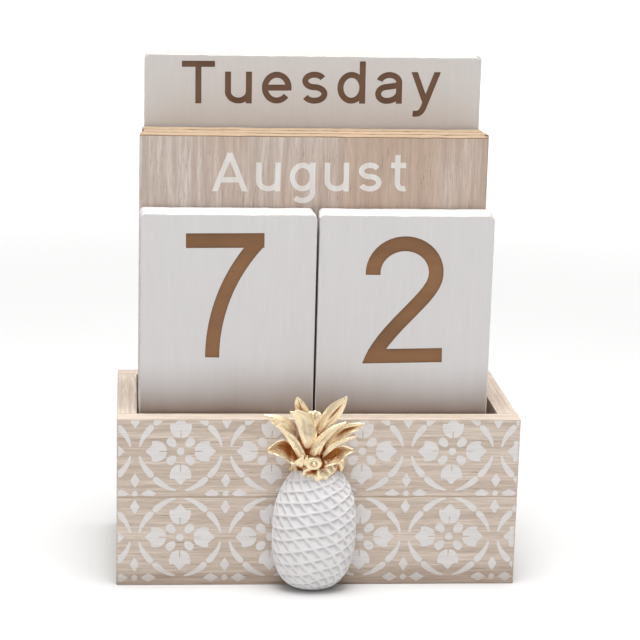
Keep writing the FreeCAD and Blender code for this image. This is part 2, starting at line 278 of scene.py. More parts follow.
def painted_foot_shade(name):
    """Painted shade that darkens a colour towards the tray's foot."""
    inputs = [("Color", "Color", (1, 1, 1, 1)), ("Vector", "Vector"), ("Amount", "Float", 0.3)]
    group, given, made = new_group(name, inputs, [("Color", "Color")])
    base, vector, amount = given[:3]
    ragged = math_node(group, "MULTIPLY", cloud_node(group, vector, 90.0, 3.0), 4 * MM)
    height = math_node(group, "SUBTRACT", axis_value(group, vector, "Z"), ragged)
    share = math_node(group, "MULTIPLY", ramp(group, height, -2 * MM, 9 * MM, 1.0, 0.0), amount)
    dark = mix(group, 1.0, base, (0.60, 0.53, 0.48), "MULTIPLY")
    feed(group, made.inputs["Color"], mix(group, share, base, dark))
    return group


def put_group(tree, build, **inputs):
    """The outputs of a group placed in a material; it is built the first time."""
    name = "calendar " + build.__name__.replace("_", " ")
    made = tree.nodes.new("ShaderNodeGroup")
    made.node_tree = bpy.data.node_groups.get(name) or build(name)
    for key, value in inputs.items():
        feed(tree, made.inputs[key], value)
    return made.outputs


# ---------------------------------------------------------------- finishes

GRAIN_TURNS = {"x": (0, 0, 0), "y": (0, 0, math.radians(90)), "z": (0, math.radians(90), 0)}
BOARD_STRETCH = (60, 2100, 2100)  # grain along and across the tray's boards, per metre
FINE = (700, 700, 700)
INK_STRETCH = (80, 1500, 1500)


def darker(tone, share):
    return tuple(value * share for value in tone)


def new_material(name, roughness, metallic=0.0):
    """An empty material: its node tree and its Principled BSDF."""
    material = bpy.data.materials.new(name)
    material.use_nodes = True
    shader = material.node_tree.nodes["Principled BSDF"]
    shader.inputs["Roughness"].default_value = roughness
    shader.inputs["Metallic"].default_value = metallic
    return material, material.node_tree, shader


def finish(tree, shader, tone, height, bump):
    """Gives a shader its colour and its relief."""
    feed(tree, shader.inputs["Base Color"], tone)
    relief = add_node(tree, "Bump", Strength=1.0, Distance=bump, Height=height).outputs[0]
    feed(tree, shader.inputs["Normal"], relief)


def wood_material(
    name, light, dark, along, streak, pores, stretch=BOARD_STRETCH, shift=0.0, bump=0.00006, foot=0.0, roughness=0.72
):
    """Wood, bare or under thin paint, whose grain runs along one axis of the frame."""
    material, tree, shader = new_material(name, roughness)
    vector = object_vector(tree, stretch, GRAIN_TURNS[along], (shift, shift, shift))
    tone, height = put_group(tree, wood_grain, Vector=vector, Light=light, Dark=dark, Streak=streak, Pores=pores)
    # foot adds painted shade that darkens the wood towards the tray's foot
    if foot:
        tone = put_group(tree, painted_foot_shade, Color=tone, Vector=object_vector(tree), Amount=foot)["Color"]
    finish(tree, shader, tone, height, bump)
    return material


def coated_material(name, base, tint, cloud, specks, scale, roughness, bump=0.00003):
    """Paint, resin or a burnt surface with a soft cloudy tone."""
    material, tree, shader = new_material(name, roughness)
    vector = object_vector(tree, scale)
    tone, height = put_group(tree, mottle, Vector=vector, Color=base, Tint=tint, Cloud=cloud, Specks=specks)
    finish(tree, shader, tone, height, bump)
    return material


def painted_material(name, paint):
    """White paint over fine upright wood grain that shows faintly through it."""
    stretch = (60, 900, 900)
    return wood_material(
        name, paint, darker(paint, 0.955), "z", 0.3, 0.06, stretch, bump=0.00002, roughness=0.5
    )


def worn_edge_material(name, s):
    """Paint rubbed thin in patches, with the wood's tone under it."""
    material, tree, shader = new_material(name, 0.62)
    patches = cloud_node(tree, object_vector(tree, (260, 900, 260)), 1.0, 5.0, 0.65)
    finish(tree, shader, mix(tree, ramp(tree, patches, 0.44, 0.62), s.paint, s.worn), patches, 0.00012)
    return material


def burnt_materials(name, tone, tint, cloud, specks, scale, wall_share):
    """The floor and the darker walls of what is burnt into a plate."""
    floor = coated_material(
        f"burnt {name} floor", tone, darker(tone, tint), cloud, specks, scale, 0.7, 0.00005
    )
    soot = darker(tone, wall_share), darker(tone, 0.25)
    return floor, coated_material(f"burnt {name} wall", *soot, 0.5, 0.3, FINE, 0.8)


def colour_under(material):
    """A material's node tree, its Base Color input and the socket that feeds it."""
    tree = material.node_tree
    base = tree.nodes["Principled BSDF"].inputs["Base Color"]
    return tree, base, base.links[0].from_socket


def add_rim_shade(material, paint, rim_shade_tone):
    """Adds painted shade, tinted with a painted brown reflection of the tray's wood, in a band across a plate just
    above the tray's rim.
    """
    tree, base, clean = colour_under(material)
    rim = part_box("tray_front_upper_slat")[1].z
    ragged = math_node(tree, "MULTIPLY", cloud_node(tree, object_vector(tree, (22, 22, 22)), 1.0, 3.0), -9 * MM)
    height = math_node(tree, "ADD", axis_value(tree, object_vector(tree, (1, 1, 1)), "Z"), ragged)
    above = ramp(tree, height, rim - 4 * MM, rim + 18 * MM, 1.0, 0.0, "LINEAR")
    below = ramp(tree, height, rim - 50 * MM, rim - 2 * MM)
    share = math_node(tree, "MULTIPLY", math_node(tree, "POWER", above, 1.7), below)
    # the painted shade's tone, as a share of the clean paint
    shade_tone = tuple(min(1.0, r / p) for r, p in zip(rim_shade_tone, paint))
    feed(tree, base, mix(tree, share, clean, mix(tree, 1.0, clean, shade_tone, "MULTIPLY")))


def brown_patches(material, light, brown, shift):
    """Lets the pale tone of a month plate drift to a browner one in upright bands."""
    tree = material.node_tree
    grain = next(n for n in tree.nodes if n.type == "GROUP")
    bands = cloud_node(tree, object_vector(tree, (26, 1, 7), shift=(shift, 0, 0)))
    across = axis_value(tree, object_vector(tree, (2.2, 1, 1)), "X")
    share = ramp(tree, math_node(tree, "ADD", bands, across), 0.36, 0.66)
    feed(tree, grain.inputs["Light"], mix(tree, share, light, brown))


def resin_material(name, s):
    """Cast white resin, with painted shade that greys the hollows between the ridges."""
    material = coated_material(name, s.resin, darker(s.resin, 0.9), 0.4, 0.3, (900, 900, 900), 0.5, 0.00012)
    tree, base, clean = colour_under(material)
    hollow_shade = add_node(tree, "Attribute", {"attribute_name": "hollow_shade"}).outputs["Fac"]
    share = math_node(tree, "MULTIPLY", ramp(tree, hollow_shade, 0.1, 0.75), 0.9)
    feed(tree, base, mix(tree, share, clean, s.resin_shade))
    return material


def steel_material(name):
    """Drawn steel wire with a faint uneven shine."""
    material, tree, shader = new_material(name, 0.38, metallic=1.0)
    wear = cloud_node(tree, object_vector(tree, (900, 900, 900)), 1.0, 3.0)
    feed(tree, shader.inputs["Base Color"], mix(tree, wear, (0.62, 0.61, 0.6), (0.42, 0.4, 0.38)))
    feed(tree, shader.inputs["Roughness"], ramp(tree, wear, 0.3, 0.7, 0.3, 0.5))
    return material


def gold_material(name, s):
    """Bright gilding with a painted shade of deep brownish gold in the hollows, with fine streaks along each leaf.
    """
    material, tree, shader = new_material(name, 0.3, metallic=0.6)
    hollow_shade, across, along = (
        add_node(tree, "Attribute", {"attribute_name": layer}).outputs["Fac"] for layer in LEAF_LAYERS
    )
    patch = cloud_node(tree, object_vector(tree, (230, 230, 230)))
    across, along = math_node(tree, "MULTIPLY", across, 4.5), math_node(tree, "MULTIPLY", along, 2.2)
    streaks = cloud_node(tree, add_node(tree, "CombineXYZ", X=across, Y=along).outputs[0], 1.0, 3.0)
    # painted shade in the hollows, mixed with random patches
    share = math_node(tree, "ADD", hollow_shade, math_node(tree, "MULTIPLY", patch, 0.45))
    height = math_node(tree, "ADD", patch, math_node(tree, "MULTIPLY", streaks, 1.6))
    finish(tree, shader, mix(tree, ramp(tree, share, 0.25, 0.9), s.gold, s.amber), height, 0.00012)
    feed(tree, shader.inputs["Roughness"], ramp(tree, patch, 0.3, 0.7, 0.2, 0.38))
    return material


# ---------------------------------------------------------------- mesh helpers


def move(bm, *vec):
    bmesh.ops.translate(bm, vec=vec, verts=bm.verts)


def scale_by(bm, *vec):
    bmesh.ops.scale(bm, vec=vec, verts=bm.verts)


def turn_about(bm, centre, degrees, axis):
    turn = Matrix.Rotation(math.radians(degrees), 3, axis)
    bmesh.ops.rotate(bm, cent=centre, matrix=turn, verts=bm.verts)


def spin_up(bm, angle, steps, close):
    """Spins everything in a bmesh about the upright axis."""
    bmesh.ops.spin(
        bm,
        geom=bm.verts[:] + bm.edges[:],
        cent=(0, 0, 0),
        axis=(0, 0, 1),
        dvec=(0, 0, 0),
        angle=angle,
        steps=steps,
        use_merge=close,
        use_duplicate=False,
    )


def block(low, high):
    """A bmesh box between two corners."""
    bm = bmesh.new()
    bmesh.ops.create_cube(bm, size=1.0)
    scale_by(bm, *(high - low))
    move(bm, *((low + high) / 2))
    return bm


def bevel_where(bm, test, radius, segments):
    """Bevels the edges whose two ends both pass the test."""
    edges = [e for e in bm.edges if test(e.verts[0].co, e.verts[1].co)]
    if edges and radius > 0:
        bmesh.ops.bevel(
            bm,
            geom=edges,
            offset=radius,
            affect="EDGES",
            segments=segments,
            profile=0.5,
            material=-1,
            clamp_overlap=True,
        )


def to_object(name, bm, materials=()):
    mesh = bpy.data.meshes.new(name)
    bm.to_mesh(mesh)
    bm.free()
    for material in materials:
        mesh.materials.append(material)
    made = bpy.data.objects.new(name, mesh)
    bpy.context.scene.collection.objects.link(made)
    return made


def place(piece, body, slot, *nodes):
    """Hands a finished piece over to its body and hides the CAD nodes it stands for; the slot is not used."""
    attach(piece, body)
    if nodes:
        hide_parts(*nodes)


def cut(target, cutter, operation="DIFFERENCE"):
    """Applies an exact boolean to target and removes the cutter."""
    modifier = target.modifiers.new("cut", "BOOLEAN")
    modifier.operation = operation
    modifier.solver = "EXACT"
    modifier.use_self = True
    modifier.material_mode = "TRANSFER"
    modifier.object = cutter
    bpy.context.view_layer.update()
    result = bpy.data.meshes.new_from_object(target.evaluated_get(bpy.context.evaluated_depsgraph_get()))
    target.modifiers.clear()
    old, target.data = target.data, result
    result.name = target.name
    bpy.data.meshes.remove(old)
    spent = cutter.data
    bpy.data.objects.remove(cutter)
    bpy.data.meshes.remove(spent)
    if not result.polygons:
        raise RuntimeError(f"{target.name}: the boolean left nothing")


def merge_in(bm, other, matrix=None):
    """Adds a bmesh to another, and frees it."""
    if matrix is not None:
        bmesh.ops.transform(other, matrix=matrix, verts=other.verts)
    carrier = bpy.data.meshes.new("carrier")
    other.to_mesh(carrier)
    other.free()
    bm.from_mesh(carrier)
    bpy.data.meshes.remove(carrier)


def smooth_shade(piece, angle=40):
    piece.data.shade_smooth()
    piece.data.set_sharp_from_angle(angle=math.radians(angle))


# ---------------------------------------------------------------- pen strokes
#
# A stroke is a list of points in units of the capital height, with the base
# line at 0 and x from the letter's left side.


def line(x1, z1, x2, z2):
    return [Vector((x1, z1)), Vector((x2, z2))]


def stem(x, top=1.0, foot=0.0):
    return line(x, top, x, foot)


def bar(z, start, end):
    return line(start, z, end, z)


def arc(cx, cz, rx, rz, start=0, end=360):
    """Part of an ellipse between two angles in degrees, in steps of about 3 degrees."""
    steps = max(4, round(abs(end - start) * max(rx, rz, 0.35) / 3.2))
    turns = [math.radians(start + (end - start) * i / steps) for i in range(steps + 1)]
    return [Vector((cx + rx * math.cos(t), cz + rz * math.sin(t))) for t in turns]


def curve(*values):
    """A Bezier curve from its four points, in 12 steps."""
    a, b, c, d = (Vector(values[i : i + 2]) for i in (0, 2, 4, 6))
    shares = [i / 12 for i in range(13)]
    return [a * (1 - t) ** 3 + b * 3 * t * (1 - t) ** 2 + c * 3 * t * t * (1 - t) + d * t**3 for t in shares]


def join(*pieces):
    points = []
    for piece in pieces:
        points += [p for p in piece if not points or (p - points[-1]).length > 1e-4]
    return points


def stroke_sheet(points, half_width):
    """A flat ribbon in the XZ plane: a nib of two points extruded along the stroke."""
    bm = bmesh.new()
    closed = (points[0] - points[-1]).length < 1e-3
    last = len(points) - 1
    nib = left = None
    for i, point in enumerate(points):
        before = points[i - 1] if i else (points[last - 1] if closed else point)
        after = points[i + 1] if i < last else (points[1] if closed else point)
        along = (after - before).normalized()
        side = Vector((-along.y, along.x)) * half_width(i / last)
        ends = [Vector((q.x, 0, q.y)) for q in (point + side, point - side)]
        if nib is None:
            left = bm.verts.new(ends[0])
            nib = bm.edges.new((left, bm.verts.new(ends[1])))
            continue
        made = bmesh.ops.extrude_edge_only(bm, edges=[nib])["geom"]
        fresh = [g for g in made if isinstance(g, bmesh.types.BMVert)]
        nib = next(g for g in made if isinstance(g, bmesh.types.BMEdge) and all(v in fresh for v in g.verts))
        if not any(e.other_vert(fresh[0]) is left for e in fresh[0].link_edges):
            fresh.reverse()
        fresh[0].co, fresh[1].co = ends
        left = fresh[0]
    if closed:
        bmesh.ops.remove_doubles(bm, verts=bm.verts, dist=1e-4)
    return bm


def clip_sheet(bm, low_x=None, high_x=None, low_z=None, high_z=None):
    """Cuts a flat sheet off at up to four straight lines."""
    for limit, axis, sign in ((low_x, 0, -1), (high_x, 0, 1), (low_z, 2, -1), (high_z, 2, 1)):
        if limit is None:
            continue
        normal, spot = Vector((0, 0, 0)), Vector((0, 0, 0))
        normal[axis], spot[axis] = sign, limit
        sheet = bm.verts[:] + bm.edges[:] + bm.faces[:]
        bmesh.ops.bisect_plane(bm, geom=sheet, dist=1e-7, plane_co=spot, plane_no=normal, clear_outer=True)


def thicken_sheet(bm, depth):
    """Makes a flat sheet a closed slab by extruding it along +Y."""
    made = bmesh.ops.extrude_face_region(bm, geom=bm.faces[:])["geom"]
    moved = [g for g in made if isinstance(g, bmesh.types.BMVert)]
    bmesh.ops.translate(bm, vec=(0, depth, 0), verts=moved)
    bmesh.ops.recalc_face_normals(bm, faces=bm.faces)


CAPITAL = {"low_z": 0.0, "high_z": 1.0}
SMALL = {"low_z": 0.0, "high_z": 0.75}
BOWL = arc(0.33, 0.375, 0.26, 0.305)
ARCH = join(arc(0.316, 0.47, 0.246, 0.21, 180, 0), stem(0.562, 0.47))

# Each letter's width, the lines it is cut off at, and its strokes.
GLYPHS = {
    "0": (0.62, {}, arc(0.31, 0.5, 0.252, 0.442)),
    "1": (0.42, CAPITAL, stem(0.36), curve(0.37, 0.99, 0.32, 0.85, 0.22, 0.79, 0.1, 0.77)),
    "2": (
        0.641,
        {"low_z": 0.0},
        join(
            arc(0.331, 0.72, 0.25, 0.231, 183, -15),
            curve(0.572, 0.66, 0.532, 0.50, 0.145, 0.255, 0.058, -0.02),
        ),
        bar(0.056, 0.05, 0.639),
    ),
    "3": (0.62, {}, arc(0.3, 0.735, 0.22, 0.21, 165, -90), arc(0.31, 0.29, 0.25, 0.235, 90, -165)),
    "4": (0.66, CAPITAL, stem(0.47), line(0.47, 1.02, 0.02, 0.26), bar(0.28, 0.0, 0.66)),
    "5": (
        0.62,
        {},
        bar(0.942, 0.12, 0.56),
        line(0.17, 1.0, 0.12, 0.5),
        arc(0.3, 0.335, 0.26, 0.278, 140, -160),
    ),
    "6": (0.62, {}, arc(0.31, 0.32, 0.25, 0.265), curve(0.06, 0.34, 0.06, 0.75, 0.22, 0.95, 0.5, 0.935)),
    "7": (
        0.642,
        {"high_x": 0.642, "high_z": 1.0},
        bar(0.942, 0, 0.642),
        arc(1.554, 0, 1.336, 1.336, 180, 132),
    ),
    "8": (0.62, {}, arc(0.31, 0.735, 0.21, 0.208), arc(0.31, 0.29, 0.25, 0.235)),
    "A": (0.87, CAPITAL, line(0.03, -0.04, 0.46, 1.04), line(0.84, -0.04, 0.41, 1.04), bar(0.3, 0.18, 0.69)),
    "D": (
        0.75,
        {},
        stem(0.07),
        join(bar(0.93, 0.07, 0.32), arc(0.32, 0.5, 0.36, 0.43, 90, -90), bar(0.07, 0.32, 0.07)),
    ),
    "F": (0.6, {}, stem(0.07), bar(0.93, 0.07, 0.6), bar(0.52, 0.07, 0.54)),
    "J": (0.52, {}, join(stem(0.45, 1, 0.28), arc(0.25, 0.28, 0.2, 0.21, 0, -160))),
    "M": (
        0.9,
        CAPITAL,
        stem(0.07),
        stem(0.83),
        line(0.06, 1.02, 0.46, 0.12),
        line(0.84, 1.02, 0.44, 0.12),
    ),
    "N": (0.76, CAPITAL, stem(0.07), stem(0.69), line(0.06, 1.02, 0.7, -0.02)),
    "O": (0.9, {}, arc(0.45, 0.5, 0.38, 0.435)),
    "S": (0.66, {}, join(arc(0.33, 0.745, 0.235, 0.188, 25, 270), arc(0.33, 0.312, 0.26, 0.245, 90, -155))),
    "T": (0.776, {}, bar(0.93, 0, 0.776), stem(0.388, 0.93)),
    "W": (
        1.12,
        CAPITAL,
        line(0.05, 1.03, 0.31, -0.03),
        line(0.31, -0.03, 0.56, 1.0),
        line(0.56, 1.0, 0.81, -0.03),
        line(0.81, -0.03, 1.07, 1.03),
    ),
    "a": (
        0.635,
        {},
        join(arc(0.33, 0.5, 0.235, 0.18, 166, 0), stem(0.565, 0.5)),
        join(
            line(0.565, 0.44, 0.29, 0.4),
            arc(0.27, 0.232, 0.2, 0.165, 90, 270),
            curve(0.27, 0.067, 0.43, 0.067, 0.56, 0.16, 0.565, 0.28),
        ),
    ),
    "b": (0.66, {}, BOWL, stem(0.07)),
    "c": (0.6, {}, arc(0.35, 0.375, 0.28, 0.305, 48, 312)),
    "d": (0.66, {}, BOWL, stem(0.59)),
    "e": (0.7, {}, bar(0.375, 0.07, 0.62), arc(0.35, 0.375, 0.28, 0.305, -12, 322)),
    "g": (0.66, {}, BOWL, join(stem(0.59, 0.75), arc(0.34, -0.03, 0.25, 0.21, 0, -140))),
    "h": (0.632, {}, stem(0.07), ARCH),
    "i": (0.14, {}, stem(0.07, 0.75), stem(0.07, 1.0, 0.87)),
    "l": (0.14, {}, stem(0.07)),
    "m": (
        1.02,
        {},
        stem(0.07, 0.75),
        join(arc(0.29, 0.48, 0.22, 0.2, 180, 0), stem(0.51, 0.48)),
        join(arc(0.73, 0.48, 0.22, 0.2, 180, 0), stem(0.95, 0.48)),
    ),
    "n": (0.632, {}, stem(0.07, 0.75), ARCH),
    "o": (0.66, {}, BOWL),
    "p": (0.66, {}, BOWL, stem(0.07, 0.75, -0.3)),
    "r": (0.42, {}, stem(0.07, 0.75), arc(0.31, 0.43, 0.24, 0.25, 180, 72)),
    "s": (0.61, {}, join(arc(0.3, 0.535, 0.215, 0.148, 25, 270), arc(0.305, 0.227, 0.235, 0.16, 90, -155))),
    "t": (0.4, {}, join(stem(0.17, 0.95, 0.22), arc(0.33, 0.22, 0.16, 0.152, 180, 290)), bar(0.68, 0, 0.39)),
    "u": (
        0.632,
        {},
        join(stem(0.07, 0.75, 0.28), arc(0.316, 0.28, 0.246, 0.21, 180, 360)),
        stem(0.562, 0.75),
    ),
    "v": (0.62, SMALL, line(0.05, 0.8, 0.33, -0.04), line(0.57, 0.8, 0.29, -0.04)),
    "y": (
        0.644,
        {"high_z": 0.75},
        line(0.04, 0.78, 0.33, 0.02),
        join(line(0.61, 0.78, 0.29, -0.07), curve(0.29, -0.07, 0.23, -0.22, 0.17, -0.25, 0.03, -0.235)),
    ),
}


def glyph_sheet(letter, weight):
    """One letter or digit as a flat sheet, and its width. The 9 is the 6 turned round."""
    width, limits, *strokes = GLYPHS["6" if letter == "9" else letter]
    bm = bmesh.new()
    for points in strokes:
        merge_in(bm, stroke_sheet(points, lambda t: weight / 2))
    clip_sheet(bm, **limits)
    if letter == "9":
        turn_about(bm, (width / 2, 0, 0.5), 180, "Y")
    return bm, width


def lettering(text, style, low, high, side, turned, proud, depth):
    """A word as slabs that go from proud outside a plate's face to depth inside it.

    low and high are the plate's corners; side is -1 on its front and +1 on its
    back. A turned word stands the other way up at the plate's foot, so it
    reads once the plate is flipped.
    """
    bm = bmesh.new()
    pen = 0.0
    for letter in text:
        sheet, width = glyph_sheet(letter, style["weight"])
        merge_in(bm, sheet, Matrix.Translation((pen, 0, 0)))
        pen += width + style["gap"]
    pen -= style["gap"]
    thicken_sheet(bm, 1.0)
    face = low.y if side < 0 else high.y
    near, far = sorted((face + side * proud, face - side * depth))
    cap = style["cap"] * MM
    base = high.z - style["drop"] * MM - cap
    scale_by(bm, cap * style["stretch"], far - near, cap)
    move(bm, -pen * cap * style["stretch"] / 2, near, base)
    turn_about(bm, (0, 0, base + cap / 2), -style["tilt"], "Y")
    if side > 0:
        scale_by(bm, -1, 1, 1)
    if turned:
        scale_by(bm, -1, 1, -1)
        move(bm, 0, 0, low.z + high.z)
    move(bm, (low.x + high.x) / 2 - side * style["shift"] * MM, 0, 0)
    bmesh.ops.recalc_face_normals(bm, faces=bm.faces)
    return bm


def legend_slabs(low, high, legends, style, proud, depth):
    """A plate's legends in one bmesh: front top, front foot, back top, back foot."""
    bm = bmesh.new()
    spots = [(side, turned) for side in (-1, 1) for turned in (False, True)]
    for (side, turned), text in zip(spots, legends):
        if text:
            merge_in(bm, lettering(text, style, low, high, side, turned, proud, depth))
    return bm


# ---------------------------------------------------------------- tray

# Each board, and the axis its grain runs along.
TRAY_BOARDS = {
    "tray_front_lower_slat": "x",
    "tray_front_upper_slat": "x",
    "tray_back_lower_slat": "x",
    "tray_back_upper_slat": "x",
    "tray_left_side": "y",
    "tray_right_side": "y",
    "tray_floor": "x",
}
LEFT_AND_RIGHT = {(0, 0), (0, 1)}
FRONT_AND_BACK = {(1, 0), (1, 1)}
TOP = (2, 1)
NAIL_LENGTH = 20 * MM
NAIL_DOME = 0.2 * MM
WELL_GAP = 0.12 * MM  # free space round a nail's head
WELL_START, WELL_DEPTH = 0.5 * MM, 1.1 * MM


def shared_planes(a, b):
    """Which of the tray's outside planes, as axis and end, two points both lie on."""
    return {(i, j) for i in range(3) for j in (0, 1) if all(abs(p[i] - TRAY[j][i]) < NEAR for p in (a, b))}


def along_axis(a, b, axis):
    """Whether an edge runs along an axis, and is longer than a chamfer."""
    way = b - a
    return all(abs(way[i]) < NEAR for i in range(3) if i != axis) and abs(way[axis]) > 1.5 * MM


def rod(start, way, radius, depth, dome=0.0):
    """A round bar from start along way; dome rounds the rim it starts with."""
    bm = bmesh.new()
    bmesh.ops.create_cone(bm, cap_ends=True, segments=24, radius1=radius, radius2=radius, depth=depth)
    if dome:
        rim = [e for e in bm.edges if all(v.co.z < 0 for v in e.verts)]
        bmesh.ops.bevel(bm, geom=rim, offset=dome, affect="EDGES", segments=3, profile=0.5, material=-1)
    turn = Vector((0, 0, 1)).rotation_difference(way).to_matrix()
    bmesh.ops.rotate(bm, cent=(0, 0, 0), matrix=turn, verts=bm.verts)
    move(bm, *(start + way * depth / 2))
    return bm


def nail_heads(radius):
    """Each brad's node, the middle of its head and the way it was driven in."""
    low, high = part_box("corner_brads")
    heads = [
        ("corner_brads", Vector((x, high.y, z)), Vector((0, -1, 0)))
        for x in (low.x + radius, high.x - radius)
        for z in (low.z + radius, high.z - radius)
    ]
    low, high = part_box("floor_brads")
    return heads + [
        ("floor_brads", Vector((x, y, (low.z + high.z) / 2)), Vector((way, 0, 0)))
        for y in (low.y + radius, high.y - radius)
        for x, way in ((low.x, 1), (high.x, -1))
    ]


def tray_board(node, s):
    """A board with chamfers at its joints, rounded along the tray's outside edges."""
    bm = block(*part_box(node))
    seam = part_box("tray_front_lower_slat")[1].z

    def at_seam(a, b):
        level = abs(a.z - seam) < NEAR and abs(b.z - seam) < NEAR
        return level and along_axis(a, b, 0) and bool(shared_planes(a, b) & FRONT_AND_BACK)

    def at_outside(a, b):
        shared = shared_planes(a, b)
        return len(shared) >= 2 or (TOP in shared and along_axis(a, b, 1 if TRAY_BOARDS[node] == "y" else 0))

    def at_joint(a, b):
        shared = shared_planes(a, b)
        return len(shared) == 1 and along_axis(a, b, 2) and bool(shared & LEFT_AND_RIGHT)

    bevel_where(bm, at_seam, s.seam_chamfer, 1)
    if node != "tray_floor":
        bevel_where(bm, at_outside, s.rounding, 3)
        bevel_where(bm, at_joint, s.joint_chamfer, 1)
    return bm


class CALENDAR_OT_tray(bpy.types.Operator):
    """Builds the tray's seven boards and sinks the brads into them"""

    bl_idname = "calendar.tray"
    bl_label = "Build Tray"

    def execute(self, context):
        s = context.scene.calendar_tray
        low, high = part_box("floor_brads")
        radius = (high.z - low.z) / 2
        heads = nail_heads(radius)
        for number, (node, along) in enumerate(TRAY_BOARDS.items()):
            low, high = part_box(node)
            # the boards take painted shade towards the tray's foot
            wood = wood_material(
                f"{node} wood", s.light_wood, s.dark_wood, along, 0.42, 0.9, shift=0.031 * number, foot=0.8
            )
            piece = to_object(node + "_board", tray_board(node, s), [wood])
            for _, start, way in heads:
                inside = start + way * 0.1 * MM
                if all(low[i] - NEAR <= inside[i] <= high[i] + NEAR for i in range(3)):
                    well = rod(start - way * WELL_START, way, radius + WELL_GAP, WELL_DEPTH)
                    cut(piece, to_object("well", well, [wood]))
            place(piece, "tray", "tray_wood", node)

        steel = steel_material("brad steel")
        for node in ("corner_brads", "floor_brads"):
            bm = bmesh.new()
            for owner, start, way in heads:
                if owner == node:
                    sunk = start + way * s.brad_sink
                    merge_in(bm, rod(sunk, way, radius, NAIL_LENGTH - s.brad_sink, NAIL_DOME))
            piece = to_object(node + "_nails", bm, [steel])
            smooth_shade(piece)
            place(piece, "tray", "brad_steel", node)
        return {"FINISHED"}


# ---------------------------------------------------------------- stencil
#
# Every number here is in millimetres; an outline is half of a petal, as
# (sideways, outwards) from the flower's middle.

LATTICE = 35.06  # between flowers
FLOWER_COLUMNS = 6
FLOWER_FIRST = -88.5
FLOWER_ROWS = (19.65, 54.5)
CROSS_ROWS = (3.05, 37.4, 71.9)
TULIP = [(0.28, 5.3), (1.5, 5.5), (2.7, 6.2), (3.55, 7.3), (4.05, 8.6), (4.2, 9.6), (4.15, 10.4), (3.95, 11.2)]
TULIP += [(3.2, 11.0), (2.3, 11.15), (1.7, 11.8), (1.1, 12.5), (0.5, 13.2), (0.0, 13.5)]
TULIP_SLIT = [(0.2, 8.2)]
SMALL_PETAL = [(0.0, 2.75), (0.8, 3.1), (1.35, 3.9), (1.65, 4.9), (1.6, 5.9), (1.2, 6.7), (0.6, 7.0), (0.0, 7.1)]
DIAMOND = [(0.0, 2.4), (0.7, 3.4), (1.2, 4.3), (1.75, 5.1), (1.75, 5.6), (1.2, 6.4), (0.7, 7.3), (0.0, 8.3)]
FLOWER_DOT, CROSS_DOT = 1.5, 1.15
RING_RADIUS, RING_SWELL = 15.35, 0.55
RING_ARCS = ((6.5, 44.2), (83.5, 45.8))  # degrees, from the waist to the diagonal
RING_STEPS = 14
BLEED = 0.09  # how far the paint's edge wanders


def outline_sheet(half, slit=()):
    """A flat petal from half of its outline, which a slit may cut up its middle."""
    points = [*slit, *half, *((-u, v) for u, v in reversed(half) if u > 0), *((-u, v) for u, v in slit)]
    bm = bmesh.new()
    bm.faces.new([bm.verts.new((u * MM, 0, v * MM)) for u, v in points])
    return bm


def dot_sheet(radius):
    bm = bmesh.new()
    bmesh.ops.create_circle(bm, cap_ends=True, segments=20, radius=radius * MM)
    turn_about(bm, (0, 0, 0), 90, "X")
    return bm


def round_turn(degrees):
    return Matrix.Rotation(math.radians(degrees), 4, "Y")


def brush(t):
    """Half width of a ring stroke: thin at the waist, fuller on, and rounded at its end."""
    width = 0.28 + 0.88 * min(1.0, t / 0.72) ** 0.8
    return width * MM * math.sqrt(max(0.0, 1 - max(0.0, (t - 0.8) / 0.2) ** 3) + 0.1)


def flower_sheet():
    """Dot, four small petals, four tulips and a ring of eight brush strokes."""
    bm = dot_sheet(FLOWER_DOT)
    for turned in (0, 90, 180, 270):
        merge_in(bm, outline_sheet(TULIP, TULIP_SLIT), round_turn(turned))
        merge_in(bm, outline_sheet(SMALL_PETAL), round_turn(turned + 45))
        for start, end in RING_ARCS:
            points = []
            for i in range(RING_STEPS + 1):
                angle = math.radians(start + (end - start) * i / RING_STEPS + turned)
                radius = (RING_RADIUS + RING_SWELL * math.cos(4 * angle)) * MM
                points.append(Vector((math.cos(angle), math.sin(angle))) * radius)
            merge_in(bm, stroke_sheet(points, brush))
    return bm


def cross_sheet():
    bm = dot_sheet(CROSS_DOT)
    for turned in (0, 90, 180, 270):
        merge_in(bm, outline_sheet(DIAMOND), round_turn(turned))
    return bm


class CALENDAR_OT_stencil(bpy.types.Operator):
    """Paints the stencilled flowers on the tray's two front slats"""

    bl_idname = "calendar.stencil"
    bl_label = "Paint Stencil"

    def execute(self, context):
        s = context.scene.calendar_tray
        tint, spread = darker(s.paint, 0.86), (90, 1700, 1700)
        # the stencil paint takes painted shade towards the tray's foot
        paint = wood_material(
            "stencil paint", s.paint, tint, "x", 0.25, 0.45, spread, bump=0.00004, foot=0.6, roughness=0.66
        )
        for node in ("tray_front_lower_slat", "tray_front_upper_slat"):
            low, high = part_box(node)
            bm = bmesh.new()
            for column in range(FLOWER_COLUMNS):
                x = (FLOWER_FIRST + LATTICE * column) * MM
                for z in FLOWER_ROWS:
                    merge_in(bm, flower_sheet(), Matrix.Translation((x, 0, z * MM)))
                if column < FLOWER_COLUMNS - 1:
                    for z in CROSS_ROWS:
                        merge_in(bm, cross_sheet(), Matrix.Translation((x + LATTICE * MM / 2, 0, z * MM)))
            bottom = low.z + (s.seam_chamfer if low.z > NEAR else s.rounding)
            top = high.z - (s.seam_chamfer if high.z < TRAY[1].z - NEAR else s.rounding)
            sides = low.x + s.rounding, high.x - s.rounding
            clip_sheet(bm, *sides, bottom, top)
            for v in bm.verts:
                wobble = noise.noise_vector(v.co * 700) * BLEED * MM
                v.co.x += wobble.x
                v.co.z += wobble.z
            clip_sheet(bm, *sides, bottom, top)
            thicken_sheet(bm, s.paint_height + BURIED)
            move(bm, 0, low.y - s.paint_height, 0)
            piece = to_object(node.replace("tray_", "stencil_"), bm, [paint])
            place(piece, "tray", "white_painted_wood")
        return {"FINISHED"}


# ---------------------------------------------------------------- plates

